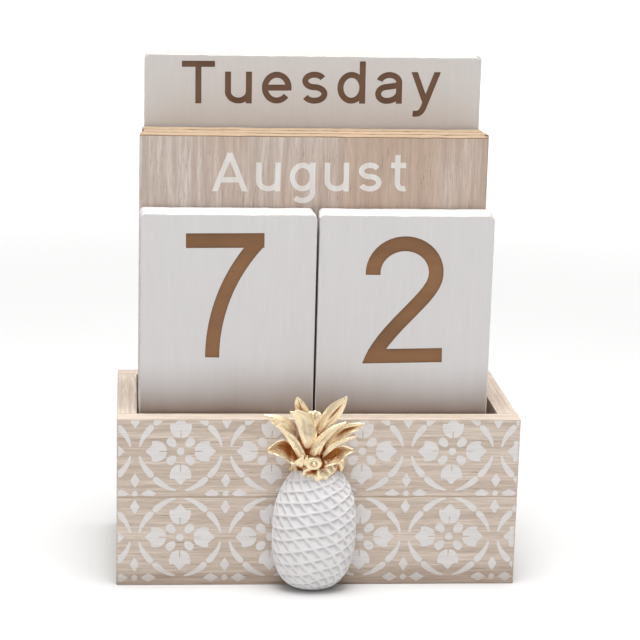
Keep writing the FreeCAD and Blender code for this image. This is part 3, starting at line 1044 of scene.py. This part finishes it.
# For each plate: front top, front foot, back top, back foot.
NUMBER_LEGENDS = {
    "number_plate_left_front": "7031",
    "number_plate_left_rear": "2586",
    "number_plate_right_front": "2549",
    "number_plate_right_rear": "6708",
}
MONTH_LEGENDS = {
    "month_plate_front": ("August", "September", "October", "November"),
    "month_plate_middle": ("December", "January", "February", "March"),
    "month_plate_rear": ("April", "May", "June", "July"),
}
WEEKDAY_LEGENDS = {
    "weekday_plate_front": ("Tuesday", "Wednesday", "Thursday", "Friday"),
    "weekday_plate_rear": ("Saturday", "Sunday", "Monday", ""),
}


def legend_style(cap, drop, stretch, shift, tilt, weight=0.117, gap=0.2):
    """How a legend is written.

    cap is its height, drop how far it is below the plate's top and shift how far
    it is off the middle, in millimetres; tilt is in degrees; the pen's weight
    and the gap between letters are in capital heights.
    """
    return {
        "cap": cap,
        "drop": drop,
        "stretch": stretch,
        "shift": shift,
        "tilt": tilt,
        "weight": weight,
        "gap": gap,
    }


LEFT_STYLE = legend_style(48.7, 7.3, 0.955, -1.2, 0.55)
RIGHT_STYLE = legend_style(49.5, 8.5, 0.985, -0.75, 1.1)
WEEKDAY_STYLE = legend_style(16.65, 2.15, 1.0, -0.9, 0.5, weight=0.142, gap=0.238)
MONTH_STYLE = legend_style(15.0, 6.45, 0.998, -1.5, 0.4, weight=0.14, gap=0.238)
PLATE_CUTS = 70  # across a plate's long edges, for the wear to bend
WORN_DOWN_TO = 2.2 * MM
WORN_FROM_ENDS = 10 * MM
WAVE, DENT, CHIP = 90, 400, 260  # how close together they come, per metre
CHIP_LIMIT = 0.3 * MM
CUTTER_PROUD = 1 * MM


def plate_blank(node, s, corner, rim_wear_and_shade_slot=1, top_slot=0):
    """A plate with rounded corners and faces; its face rims take the rim finish: worn paint on the painted plates,
    painted shade on the month plates' upper rims.
    """
    low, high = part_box(node)
    bm = block(low, high)
    bevel_where(bm, lambda a, b: along_axis(a, b, 1), corner, 6)
    faces = low.y, high.y
    bevel_where(
        bm, lambda a, b: abs(a.y - b.y) < NEAR and any(abs(a.y - face) < NEAR for face in faces), s.edge, 3
    )
    lengthways = [e for e in bm.edges if abs(e.verts[0].co.x - e.verts[1].co.x) > 20 * MM]
    bmesh.ops.subdivide_edges(bm, edges=lengthways, cuts=PLATE_CUTS, use_grid_fill=True)
    middle = (low.y + high.y) / 2
    for v in bm.verts:
        share = (v.co.z - high.z + WORN_DOWN_TO) / WORN_DOWN_TO
        inwards = min(v.co.x - low.x, high.x - v.co.x) - corner
        share *= max(0.0, min(1.0, inwards / WORN_FROM_ENDS))
        if share > 0:
            dent = abs(noise.noise(v.co * WAVE)) + 0.7 * max(0.0, noise.noise(v.co * DENT))
            chip = max(0.0, noise.noise(v.co * CHIP + Vector((9, 0, 0))) - 0.12)
            v.co.z -= s.wear * dent * share**2
            v.co.y += math.copysign(min(1.5 * s.wear * chip * share**2, CHIP_LIMIT), middle - v.co.y)
    bm.normal_update()
    for face in bm.faces:
        if 0.12 < abs(face.normal.y) < 0.97 and (not top_slot or face.normal.z > 0.1):
            face.material_index = rim_wear_and_shade_slot
        elif top_slot and face.normal.z > 0.9:
            face.material_index = top_slot
    return bm


def build_carved_plate(node, legends, s, materials, style):
    """Carves a plate's legends; its materials are paint, worn edge, burnt floor and burnt wall."""
    piece = to_object(node + "_carved", plate_blank(node, s, s.corner), materials[:2])
    cutter = legend_slabs(*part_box(node), legends, style, CUTTER_PROUD, s.carving)
    cut(piece, to_object("cutter", cutter, [materials[2]]))
    mesh = piece.data
    mesh.materials.append(materials[3])
    floor = [m.name for m in mesh.materials].index(materials[2].name)
    wall = len(mesh.materials) - 1
    for polygon in mesh.polygons:
        if polygon.material_index == floor and abs(polygon.normal.y) < 0.5:
            polygon.material_index = wall
    place(piece, node, "white_painted_wood", node)


class CALENDAR_OT_number_plates(bpy.types.Operator):
    """Builds the four number plates with their burnt-in digits"""

    bl_idname = "calendar.number_plates"
    bl_label = "Build Number Plates"

    def execute(self, context):
        s = context.scene.calendar_plates
        worn = worn_edge_material("worn number plate edge", s)
        burnt = burnt_materials("digit", s.burnt_digit, 0.62, 0.6, 0.5, (90, 300, 420), 0.42)
        for node, digits in NUMBER_LEGENDS.items():
            paint = painted_material(node + " paint", s.paint)
            # the front number plates take painted shade just above the tray's rim
            if node.endswith("_front"):
                add_rim_shade(paint, s.paint, s.rub)
            style = LEFT_STYLE if "_left_" in node else RIGHT_STYLE
            build_carved_plate(node, digits, s, (paint, worn, *burnt), style)
        return {"FINISHED"}


class CALENDAR_OT_weekday_plates(bpy.types.Operator):
    """Builds the two weekday plates with their burnt-in names"""

    bl_idname = "calendar.weekday_plates"
    bl_label = "Build Weekday Plates"

    def execute(self, context):
        s = context.scene.calendar_plates
        worn = worn_edge_material("worn weekday plate edge", s)
        burnt = burnt_materials("word", s.burnt_word, 0.7, 0.5, 0.3, FINE, 0.4)
        for node, words in WEEKDAY_LEGENDS.items():
            # the weekday plates take a darker copy of the plate paint, as painted shade
            paint = painted_material(node + " paint", s.weekday_shaded_paint)
            build_carved_plate(node, words, s, (paint, worn, *burnt), WEEKDAY_STYLE)
        return {"FINISHED"}


class CALENDAR_OT_month_plates(bpy.types.Operator):
    """Builds the three bare wood month plates with their printed names"""

    bl_idname = "calendar.month_plates"
    bl_label = "Build Month Plates"

    def execute(self, context):
        s = context.scene.calendar_plates
        thin = tuple(0.3 * a + 0.7 * b for a, b in zip(s.ink, s.month_light))
        ink = wood_material("month ink", s.ink, thin, "z", 0.85, 0.5, INK_STRETCH, bump=0.00002)
        for number, (node, words) in enumerate(MONTH_LEGENDS.items()):
            low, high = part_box(node)
            tones = s.month_light, s.month_dark
            wood = wood_material(node + " wood", *tones, "z", 0.6, 0.8, INK_STRETCH, 0.037 * number, 0.00008)
            brown_patches(wood, s.month_light, s.month_brown, 0.09 * number)
            # the upper rims take a dark brown that is painted shade in the gaps between the plates
            tones = s.month_rim_shade, darker(s.month_rim_shade, 0.6)
            rim = wood_material(node + " rim shade wood", *tones, "x", 0.6, 0.9, (200, 900, 900), 0.05 * number)
            tones = s.month_top, darker(s.month_top, 0.72)
            top = wood_material(node + " top wood", *tones, "x", 0.4, 0.6, (90, 1200, 1200), 0.02 * number)
            blank = to_object(node + "_blank", plate_blank(node, s, s.month_corner, 1, 2), [wood, rim, top])
            place(blank, node, "month_wood", node)
            sheets = bmesh.new()
            fronts = low.y - s.print_height, low.y + BURIED
            backs = high.y - BURIED, high.y + s.print_height
            for near, far in (fronts, backs):
                merge_in(sheets, block(Vector((low.x, near, low.z)), Vector((high.x, far, high.z))))
            letters = legend_slabs(low, high, words, MONTH_STYLE, 2 * MM, 1 * MM)
            printed = to_object(node.replace("_plate", "_print"), sheets, [ink])
            cut(printed, to_object("letters", letters, [ink]), "INTERSECT")
            place(printed, node, "white_painted_wood")
        return {"FINISHED"}


# ---------------------------------------------------------------- ornament

FRUIT_FOOT = 0.25 * MM
FRUIT_WAIST = 24.5 * MM
FRUIT_TOP = 49.0 * MM
FRUIT_TAPER = 30 * MM  # from the waist to where its sides would meet
FRUIT_FRONT = 8.6 * MM  # from the fruit's own axis to its front
FRUIT_RINGS = 190
FRUIT_POLE = 5 * MM  # the lattice fades out nearer than this to the axis
FRUIT_LEAN = (0.35 * MM, 0.019)  # sideways at the foot, and per metre of height
ROUND = 14.2 * MM  # radius that makes an angle round the fruit a distance
RIDGE_CURVE = 6.0  # how the gentle ridges steepen round the fruit, per metre
RIDGE_WIDTH = 0.5 * MM
GENTLE, STEEP = math.tan(math.radians(15)), math.tan(math.radians(50))


def fruit_radius(z, widest):
    """Radius of the fruit at height z, blunt at the foot and tapering to the collar."""
    if z < FRUIT_WAIST:
        t = (FRUIT_WAIST - z) / (FRUIT_WAIST - FRUIT_FOOT)
        return widest * max(0.0, 1 - t**2.6) ** (1 / 2.6)
    t = (z - FRUIT_WAIST) / FRUIT_TAPER
    return widest * max(0.0, 1 - t**2.6) ** 0.72


def fruit_profile(widest):
    """Points up the fruit's side, closer together near its foot and top."""
    profile = []
    for i in range(FRUIT_RINGS + 1):
        t = i / FRUIT_RINGS
        z = FRUIT_FOOT + (FRUIT_TOP - FRUIT_FOOT) * (0.35 * (0.5 - 0.5 * math.cos(math.pi * t)) + 0.65 * t)
        profile.append(Vector((fruit_radius(z, widest) if i else 0.0, 0, z)))
    return profile


def press_lattice(bm, profile, s):
    """Sinks the surface between two sets of ridges, deepest beside each ridge."""
    hollow_shade = bm.verts.layers.float.new("hollow_shade")
    runs = [0.0]
    for a, b in zip(profile, profile[1:]):
        runs.append(runs[-1] + (b - a).length)
    heights = [p.z for p in profile]
    waist_run = next(run for run, z in zip(runs, heights) if z >= FRUIT_WAIST)
    for v in bm.verts:
        radius = math.hypot(v.co.x, v.co.y)
        if radius < 1e-6:
            continue
        climb = runs[min(FRUIT_RINGS, bisect_left(heights, v.co.z - 1e-9))] - waist_run
        around = math.atan2(v.co.x, -v.co.y) * ROUND
        wobble = noise.noise(Vector((around, climb, 0)) * 110) * 0.9 * MM
        rise = GENTLE * around + RIDGE_CURVE * around * around
        crest, groove = 0.0, 0.0
        for offset, pitch, slope in ((-rise, s.gentle_pitch, GENTLE), (STEEP * around, s.steep_pitch, STEEP)):
            phase = (climb + offset + wobble) / pitch
            off = abs(phase - round(phase)) * pitch * math.cos(math.atan(slope))
            crest = max(crest, math.exp(-((off / RIDGE_WIDTH) ** 2)))
            groove = max(groove, (phase - math.floor(phase)) ** 2.2)
        rough = noise.noise(v.co * 700) * 0.12 + noise.noise(v.co * 260) * 0.10
        sink = (1 - crest) * (0.30 + 0.70 * groove) + rough
        fade = min(1.0, radius / FRUIT_POLE)
        # painted shade: the grey the resin takes, strongest in the sunk band beside each ridge
        v[hollow_shade] = max(0.0, (1 - crest) * groove + rough) * fade
        v.co -= Vector((v.co.x, v.co.y, 0)).normalized() * s.ridge * max(0.0, sink) * fade


class CALENDAR_OT_fruit(bpy.types.Operator):
    """Builds the white fruit with its raised lattice, pressed flat against the tray"""

    bl_idname = "calendar.fruit"
    bl_label = "Build Fruit"

    def execute(self, context):
        s = context.scene.calendar_ornament
        low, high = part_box("pineapple_body")
        widest, back = (high.x - low.x) / 2, high.y - low.y - FRUIT_FRONT
        profile = fruit_profile(widest)
        bm = bmesh.new()
        verts = [bm.verts.new(p) for p in (*profile, Vector((0, 0, FRUIT_TOP)))]
        for pair in zip(verts, verts[1:]):
            bm.edges.new(pair)
        spin_up(bm, 2 * math.pi, s.steps, close=True)
        bmesh.ops.remove_doubles(bm, verts=bm.verts, dist=0.004 * MM)
        press_lattice(bm, profile, s)
        for v in bm.verts:
            if v.co.y < 0:
                v.co.y *= FRUIT_FRONT / widest
            else:
                v.co.y = back * min(1.0, 1.7 * v.co.y / widest)
            v.co.x += FRUIT_LEAN[0] + FRUIT_LEAN[1] * v.co.z
        move(bm, (low.x + high.x) / 2, high.y - back, 0)
        bmesh.ops.recalc_face_normals(bm, faces=bm.faces)
        piece = to_object("pineapple_fruit", bm, [resin_material("white resin", s)])
        smooth_shade(piece, 60)
        place(piece, "tray", "white_resin", "pineapple_body")
        return {"FINISHED"}


# Each leaf: its two rails from base to tip in millimetres, how far its middle
# bows towards the front (a minus sign makes it a cupped spoon), the height of
# the folds along it and the depth of the groove down its middle.
CROWN_LEAVES = [
    (
        [(-9.8, -40, 66.4), (-13.0, -42, 69.6), (-16.9, -43, 71.0), (-19.8, -43.5, 71.5), (-22.3, -44, 71.7)],
        [(-9.8, -41, 62.4), (-12.9, -43, 65.1), (-16.9, -44, 67.4), (-19.8, -44.2, 69.4), (-22.3, -44, 70.8)],
        0.9, 0.2, 0.0,
    ),
    (
        [(-9.2, -47, 55.6), (-11.7, -47, 60.0), (-13.6, -46.5, 63.0), (-16.2, -46, 66.1), (-19.5, -45.5, 68.9)],
        [(-6.0, -47.5, 55.9), (-7.5, -47.5, 59.2), (-9.8, -47, 62.9), (-14.1, -46, 66.1), (-19.4, -45.5, 69.1)],
        1.0, 0.15, 0.0,
    ),
    (
        [(-6.5, -47, 59.1), (-8.3, -46.5, 62.9), (-9.5, -45.5, 66.8), (-11.0, -45, 70.6), (-12.7, -45.5, 73.3)],
        [(-4.2, -47, 59.4), (-2.0, -46, 64.2), (-3.4, -45, 68.2), (-4.9, -44.5, 71.7), (-9.5, -45, 73.8)],
        1.1, 0.0, 0.0,
    ),
    (
        [(-7.8, -40, 69.4), (-9.6, -41, 71.5), (-10.4, -42, 74.1), (-10.5, -42.5, 76.4), (-9.7, -43, 78.2)],
        [(-3.7, -40, 69.4), (-4.7, -41, 72.0), (-6.2, -42, 74.7), (-7.9, -42.5, 77.1), (-9.4, -43, 78.2)],
        0.7, 0.0, 1.0,
    ),
    (
        [(-5.1, -41, 63.0), (-5.0, -42, 66.4), (-5.4, -42, 69.4), (-5.4, -41.5, 71.4), (-4.5, -41, 72.2)],
        [(-0.7, -41, 63.0), (-0.2, -42, 66.4), (-0.1, -42, 69.4), (-0.4, -41.5, 71.5), (-2.1, -41, 72.3)],
        0.8, 0.4, 0.4,
    ),
    (
        [(-2.1, -43, 63.6), (-0.8, -43, 69.7), (1.9, -44, 74.6), (5.0, -45, 77.2), (8.9, -46, 79.5)],
        [(-0.7, -43.5, 63.8), (3.6, -44, 67.1), (6.6, -45, 70.9), (8.4, -45.5, 75.0), (9.2, -46, 79.0)],
        0.9, 0.45, 1.0,
    ),
    (
        [(-5.1, -47.5, 56.5), (-4.0, -47.5, 60.2), (-1.6, -47, 63.8), (3.3, -47, 67.9), (8.9, -47, 69.9)],
        [(-1.0, -48, 57.1), (0.2, -48, 60.3), (1.9, -47.5, 62.6), (5.1, -47, 66.1), (9.1, -47, 69.3)],
        0.9, 0.4, 0.5,
    ),
    (
        [(0.9, -44, 58.4), (3.5, -43, 63.3), (7.2, -43.5, 66.7), (11.7, -44.5, 68.3), (16.3, -45.5, 68.7)],
        [(2.6, -45, 56.9), (6.1, -44, 60.0), (10.4, -44.5, 63.8), (13.8, -45, 65.8), (16.3, -45.5, 68.3)],
        -0.45, 0.35, 1.2,
    ),
    (
        [(0.0, -48.3, 57.2), (2.2, -48, 59.9), (5.2, -47.5, 61.8), (9.0, -47, 63.3), (12.9, -46.5, 64.0)],
        [(0.7, -48.3, 56.2), (3.2, -48, 58.5), (5.9, -47.5, 60.5), (9.3, -47, 62.1), (13.1, -46.5, 63.5)],
        0.4, 0.0, 0.0,
    ),
    (
        [(0.2, -46, 54.8), (1.8, -44.5, 56.8), (5.0, -44, 58.4), (8.5, -44.5, 59.2), (12.0, -45.5, 58.1)],
        [(0.8, -47, 51.6), (3.8, -46.5, 52.2), (6.8, -46.5, 53.4), (8.9, -46.5, 55.9), (12.3, -45.7, 57.4)],
        -2.6, 0.4, 0.0,
    ),
    (
        [(-9.1, -45, 55.4), (-11.3, -43, 59.1), (-13.7, -43, 61.1), (-17.3, -44, 60.5), (-20.7, -45, 57.9)],
        [(-9.1, -46.5, 52.5), (-11.7, -46, 52.7), (-14.1, -46, 54.7), (-17.0, -46, 55.9), (-20.5, -45.2, 57.2)],
        -2.6, 0.4, 0.0,
    ),
    (
        [(-10.5, -46, 52.5), (-10.2, -47.2, 54.0), (-9.2, -48.0, 55.4), (-8.2, -48.3, 56.4), (-7.4, -48.4, 57.2)],
        [(-7.5, -47.5, 51.8), (-7.2, -48.3, 53.2), (-7.1, -48.6, 54.6), (-7.1, -48.7, 55.8), (-7.1, -48.5, 57.0)],
        0.5, 0.0, 0.0,
    ),
    (
        [(-6.9, -47.5, 52.5), (-7.0, -48.4, 54.0), (-6.8, -48.7, 55.3), (-6.4, -48.9, 56.3), (-6.0, -48.9, 57.0)],
        [(-5.0, -47.8, 52.5), (-5.2, -48.6, 53.8), (-5.4, -48.9, 55.0), (-5.6, -49.0, 56.0), (-5.8, -48.9, 56.9)],
        0.4, 0.0, 0.0,
    ),
]

# Bud, core behind the leaves and the pad under the collar: centre and radii
# in millimetres, how much of the gold's painted shade it takes (the core is painted dark as shade behind the
# leaves), and the height of its rings.
CROWN_HEART = [
    ((-3.2, -46.6, 53.4), (3.6, 2.6, 3.0), 0.1, 0.28),
    ((-3.4, -40.2, 57.0), (6.2, 4.6, 8.5), 1.0, 0.0),
    ((-1.4, -40.6, 50.8), (7.4, 5.4, 3.4), 0.6, 0.0),
]
LEAF_LAYERS = ("hollow_shade", "across", "along")
COLLAR_HEIGHT = 49.4 * MM
COLLAR_RADIUS = 8.1 * MM
COLLAR_SECTION = (2.0 * MM, 3.3 * MM)
COLLAR_OFF_MIDDLE = 1.6 * MM
CLEAR = 0.02 * MM  # the least distance from the tray's front


def along_rail(rail, t):
    """A point on the smooth line through a rail's points, t from 0 to 1."""
    place_at = t * (len(rail) - 1)
    i = min(int(place_at), len(rail) - 2)
    u = place_at - i
    p = [Vector(rail[max(0, min(len(rail) - 1, i + k))]) for k in (-1, 0, 1, 2)]
    return 0.5 * (
        2 * p[1]
        + (p[2] - p[0]) * u
        + (2 * p[0] - 5 * p[1] + 4 * p[2] - p[3]) * u * u
        + (3 * p[1] - p[0] - 3 * p[2] + p[3]) * u**3
    )


def tone_layers(bm):
    """The values that the gold reads: how much painted shade a point takes, and where it is on its leaf."""
    return [bm.verts.layers.float.new(name) for name in LEAF_LAYERS]


def hump(value, middle, width):
    return ((value - middle) / width) ** 2


def leaf_sheet(number, left, right, bow, folds, groove):
    """One leaf between its rails, bowed, folded and rippled."""
    bm = bmesh.new()
    hollow_shade, sideways, lengthways = tone_layers(bm)
    bmesh.ops.create_grid(bm, x_segments=14, y_segments=18, size=1.0)
    spoon = bow < -0.5
    line_width = 0.34 if groove > 1 else 0.14
    for v in bm.verts:
        across, t = v.co.x, (v.co.y + 1) / 2
        start, end = along_rail(left, t), along_rail(right, t)
        width = (end - start).length
        spot = Vector((across * 1.1, t * 3.3, number * 7.7))
        ripple = noise.noise(spot) * 0.55 + noise.noise(spot * 2.7) * 0.22
        crease = folds * math.cos(math.pi * (across * 1.6 + 0.25 + 0.3 * ripple)) * (1 - 0.5 * t)
        point = start.lerp(end, (across + 1) / 2)
        point.y -= (bow * (1 - across * across) + crease) * min(1.0, width / 4) + ripple * min(1, width / 3)
        dip = math.exp(-hump(across, -0.15, 0.6) - hump(t, 0.4, 0.36)) if spoon else 0.0
        line = groove * math.exp(-hump(across, 0.3 * t - 0.15, line_width) - hump(t, 0.55, 0.22))
        point.y += 0.9 * line
        # painted shade: inside a spoon, along the groove, at the leaf's base and in the folds' valleys
        v[hollow_shade] = min(1.0, 1.1 * dip + line + max(0.0, 0.45 - 1.8 * t) + max(0.0, -crease) * 0.5)
        v[sideways], v[lengthways] = across + number * 3.0, t
        v.co = point * MM
    return bm


def collar_ring(middle, back):
    """Half a ring, open towards the tray, whose skin is crumpled outwards and inwards."""
    bm = bmesh.new()
    bmesh.ops.create_circle(bm, cap_ends=False, segments=56, radius=1.0)
    turn_about(bm, (0, 0, 0), 90, "X")
    scale_by(bm, COLLAR_SECTION[0], 1, COLLAR_SECTION[1])
    move(bm, COLLAR_RADIUS, 0, COLLAR_HEIGHT)
    spin_up(bm, -math.pi, 200, close=False)
    bmesh.ops.holes_fill(bm, edges=[e for e in bm.edges if e.is_boundary], sides=0)
    bmesh.ops.recalc_face_normals(bm, faces=bm.faces)
    bm.normal_update()
    hollow_shade = tone_layers(bm)[0]
    for v in bm.verts:
        angle = math.atan2(v.co.x, -v.co.y)
        spot = Vector((angle * 8 * MM, 0.7 * v.co.z, v.co.y * 0.3))
        warp = spot + 1.2 * MM * noise.noise_vector(spot * 260)
        folds = 1 - 2.2 * abs(noise.noise(warp * 330 + Vector((2, 5, 1))))
        fine = 1 - 2 * abs(noise.noise(warp * 620 + Vector((3, 1, 7))))
        crumple = 1.25 * folds + 0.4 * fine - 0.45
        v.co += v.normal * MM * crumple
        v.co.z += MM * (0.9 * noise.noise(Vector((angle * 2.2, 5.0, 0))) - 0.7 * math.cos(angle) + 0.4)
        # painted shade in the collar's creases
        v[hollow_shade] = max(0.0, min(1.0, 0.55 - 0.8 * crumple))
    for v in bm.verts:
        v.co.y = min(1.08 * v.co.y, -CLEAR)
    move(bm, middle + COLLAR_OFF_MIDDLE, back, 0)
    bmesh.ops.recalc_face_normals(bm, faces=bm.faces)
    return bm


def heart_ball(centre, radii, amber, rings, back):
    """A rough ball, or with rings a bud grooved round its middle."""
    bm = bmesh.new()
    hollow_shade = tone_layers(bm)[0]
    bmesh.ops.create_uvsphere(bm, u_segments=64, v_segments=40, radius=MM)
    scale_by(bm, *radii)
    centre = Vector(centre) * MM
    move(bm, *centre)
    for v in bm.verts:
        way = v.co - centre
        reach = math.hypot(way.x / radii[0], way.z / radii[2]) / MM
        groove = rings * math.cos(reach * 9.0)
        rough = noise.noise(v.co * 420) * 0.6 + noise.noise(v.co * 900) * 0.25
        v.co += way.normalized() * (rough * (0.35 if rings else 1.0) + groove) * MM
        v.co.y = min(v.co.y, back - CLEAR)
        # painted shade, less on the bud's raised rings
        v[hollow_shade] = max(0.0, min(1.0, amber - groove * 1.2))
    return bm


class CALENDAR_OT_crown(bpy.types.Operator):
    """Builds the gilded crown: leaves, bud, core and crumpled collar"""

    bl_idname = "calendar.crown"
    bl_label = "Build Crown"

    def execute(self, context):
        s = context.scene.calendar_ornament
        low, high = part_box("pineapple_body")
        gold = gold_material("gold paint", s)

        leaves = bmesh.new()
        tone_layers(leaves)
        for number, leaf in enumerate(CROWN_LEAVES):
            merge_in(leaves, leaf_sheet(number, *leaf))
        piece = to_object("crown_leaves", leaves, [gold])
        shell = piece.modifiers.new("thickness", "SOLIDIFY")
        shell.thickness = s.leaf_thickness
        shell.offset = 0.0
        rounder = piece.modifiers.new("rounding", "SUBSURF")
        rounder.levels = rounder.render_levels = 1
        piece.data.shade_smooth()
        place(piece, "tray", "gold_paint", "pineapple_crown")

        piece = to_object("crown_collar", collar_ring((low.x + high.x) / 2, high.y), [gold])
        smooth_shade(piece, 80)
        place(piece, "tray", "gold_paint")

        heart = bmesh.new()
        tone_layers(heart)
        for ball in CROWN_HEART:
            merge_in(heart, heart_ball(*ball, high.y))
        piece = to_object("crown_heart", heart, [gold])
        smooth_shade(piece, 70)
        place(piece, "tray", "gold_paint")
        return {"FINISHED"}


# ---------------------------------------------------------------- stage

FLOOR_REACH = 12.0
GLOW = (0.4, 1.4, 0.85)  # metres from the part where the floor's glow starts and is full, and its strength
# Each soft light: where it stands, how wide it is and its share of the key power.
LIGHTS = {"top_light": ((0.0, -0.15, 1.6), 1.1, 1.0), "front_light": ((-0.35, -1.3, 1.2), 1.5, 0.11)}
LIT_POINT = Vector((0, 0, 0.09))
CAMERA_SPOT = Vector((-0.074206, -0.789207, 0.292788))
CAMERA_YAW, CAMERA_PITCH, CAMERA_ROLL = 0.066423, 0.232092, 0.019795  # radians
CAMERA_LENS, CAMERA_SENSOR = 115.335, 36.0  # mm
CAMERA_SHIFT = (0.09375, -0.03125)


def lay_floor(s):
    """A wide pale floor that glows further out, so that it has no horizon."""
    bm = bmesh.new()
    bmesh.ops.create_grid(bm, x_segments=8, y_segments=8, size=FLOOR_REACH)
    material, tree, shader = new_material("studio floor", 0.9)
    cloud = math_node(tree, "MULTIPLY", cloud_node(tree, object_vector(tree, (3, 3, 3))), 0.04)
    feed(tree, shader.inputs["Base Color"], mix(tree, cloud, s.floor, (0.9, 0.9, 0.9)))
    far = add_node(tree, "VectorMath", {"operation": "LENGTH"}, i0=object_vector(tree)).outputs["Value"]
    glow = ramp(tree, far, GLOW[0], GLOW[1], 0.0, GLOW[2])
    feed(tree, shader.inputs["Emission Color"], mix(tree, glow, (0, 0, 0), (1, 1, 1)))
    shader.inputs["Emission Strength"].default_value = 1.0
    to_object("studio_floor", bm, [material])


def light_sky(context, s):
    """Soft light from all round, strongest overhead."""
    world = bpy.data.worlds.new("studio")
    world.use_nodes = True
    tree = world.node_tree
    background = tree.nodes["Background"]
    height = axis_value(tree, add_node(tree, "TexCoord").outputs["Generated"], "Z")
    feed(tree, background.inputs["Strength"], ramp(tree, height, 0.0, 0.9, s.horizon, s.sky))
    background.inputs["Color"].default_value = (1.0, 0.995, 0.985, 1)
    context.scene.world = world


def hang_light(context, name, spot, size, power):
    lamp = bpy.data.lights.new(name, "AREA")
    lamp.shape = "DISK"
    lamp.size = size
    lamp.energy = power
    holder = bpy.data.objects.new(name, lamp)
    holder.location = spot
    holder.rotation_euler = (LIT_POINT - Vector(spot)).to_track_quat("-Z", "Y").to_euler()
    context.scene.collection.objects.link(holder)


def set_camera(context):
    yaw, pitch, roll = CAMERA_YAW, CAMERA_PITCH, CAMERA_ROLL
    forward = Vector((math.sin(yaw) * math.cos(pitch), math.cos(yaw) * math.cos(pitch), -math.sin(pitch)))
    level = Vector((math.cos(yaw), -math.sin(yaw), 0))
    upright = level.cross(forward)
    right = level * math.cos(roll) + upright * math.sin(roll)
    up = upright * math.cos(roll) - level * math.sin(roll)
    camera = bpy.data.objects.new("camera", bpy.data.cameras.new("camera"))
    camera.data.sensor_width = CAMERA_SENSOR
    camera.data.lens = CAMERA_LENS
    camera.data.shift_x, camera.data.shift_y = CAMERA_SHIFT
    turn = Matrix((right, up, -forward)).transposed()
    camera.matrix_world = Matrix.Translation(CAMERA_SPOT) @ turn.to_4x4()
    context.scene.collection.objects.link(camera)
    context.scene.camera = camera


class CALENDAR_OT_stage(bpy.types.Operator):
    """Sets up the pale floor, the soft lights and the camera"""

    bl_idname = "calendar.stage"
    bl_label = "Set Up Stage"

    def execute(self, context):
        s = context.scene.calendar_stage
        lay_floor(s)
        light_sky(context, s)
        for name, (spot, size, share) in LIGHTS.items():
            hang_light(context, name, spot, size, s.key * share)
        set_camera(context)
        context.scene.view_settings.view_transform = "Standard"
        return {"FINISHED"}


# ---------------------------------------------------------------- panel


BUILD_STEPS = (
    CALENDAR_OT_tray,
    CALENDAR_OT_stencil,
    CALENDAR_OT_number_plates,
    CALENDAR_OT_month_plates,
    CALENDAR_OT_weekday_plates,
    CALENDAR_OT_fruit,
    CALENDAR_OT_crown,
    CALENDAR_OT_stage,
)
SETTINGS = {
    "calendar_tray": TraySettings,
    "calendar_plates": PlateSettings,
    "calendar_ornament": OrnamentSettings,
    "calendar_stage": StageSettings,
}


class CALENDAR_PT_panel(bpy.types.Panel):
    """Lists the calendar's build steps and sizes"""

    bl_idname = "CALENDAR_PT_panel"
    bl_label = "Flip Desk Calendar"
    bl_space_type = "VIEW_3D"
    bl_region_type = "UI"
    bl_category = "Calendar"

    def draw(self, context):
        for step in BUILD_STEPS:
            self.layout.operator(step.bl_idname)
        for name, group in SETTINGS.items():
            box = self.layout.box()
            for setting in group.__annotations__:
                box.prop(getattr(context.scene, name), setting)


def register():
    for name, group in SETTINGS.items():
        bpy.utils.register_class(group)
        setattr(bpy.types.Scene, name, PointerProperty(type=group))
    for item in (*BUILD_STEPS, CALENDAR_PT_panel):
        bpy.utils.register_class(item)


def unregister():
    for item in reversed((*BUILD_STEPS, CALENDAR_PT_panel)):
        bpy.utils.unregister_class(item)
    for name, group in SETTINGS.items():
        delattr(bpy.types.Scene, name)
        bpy.utils.unregister_class(group)


def main():
    register()
    for step in BUILD_STEPS:
        family, name = step.bl_idname.split(".")
        getattr(getattr(bpy.ops, family), name)()


if __name__ == "__main__":
    main()
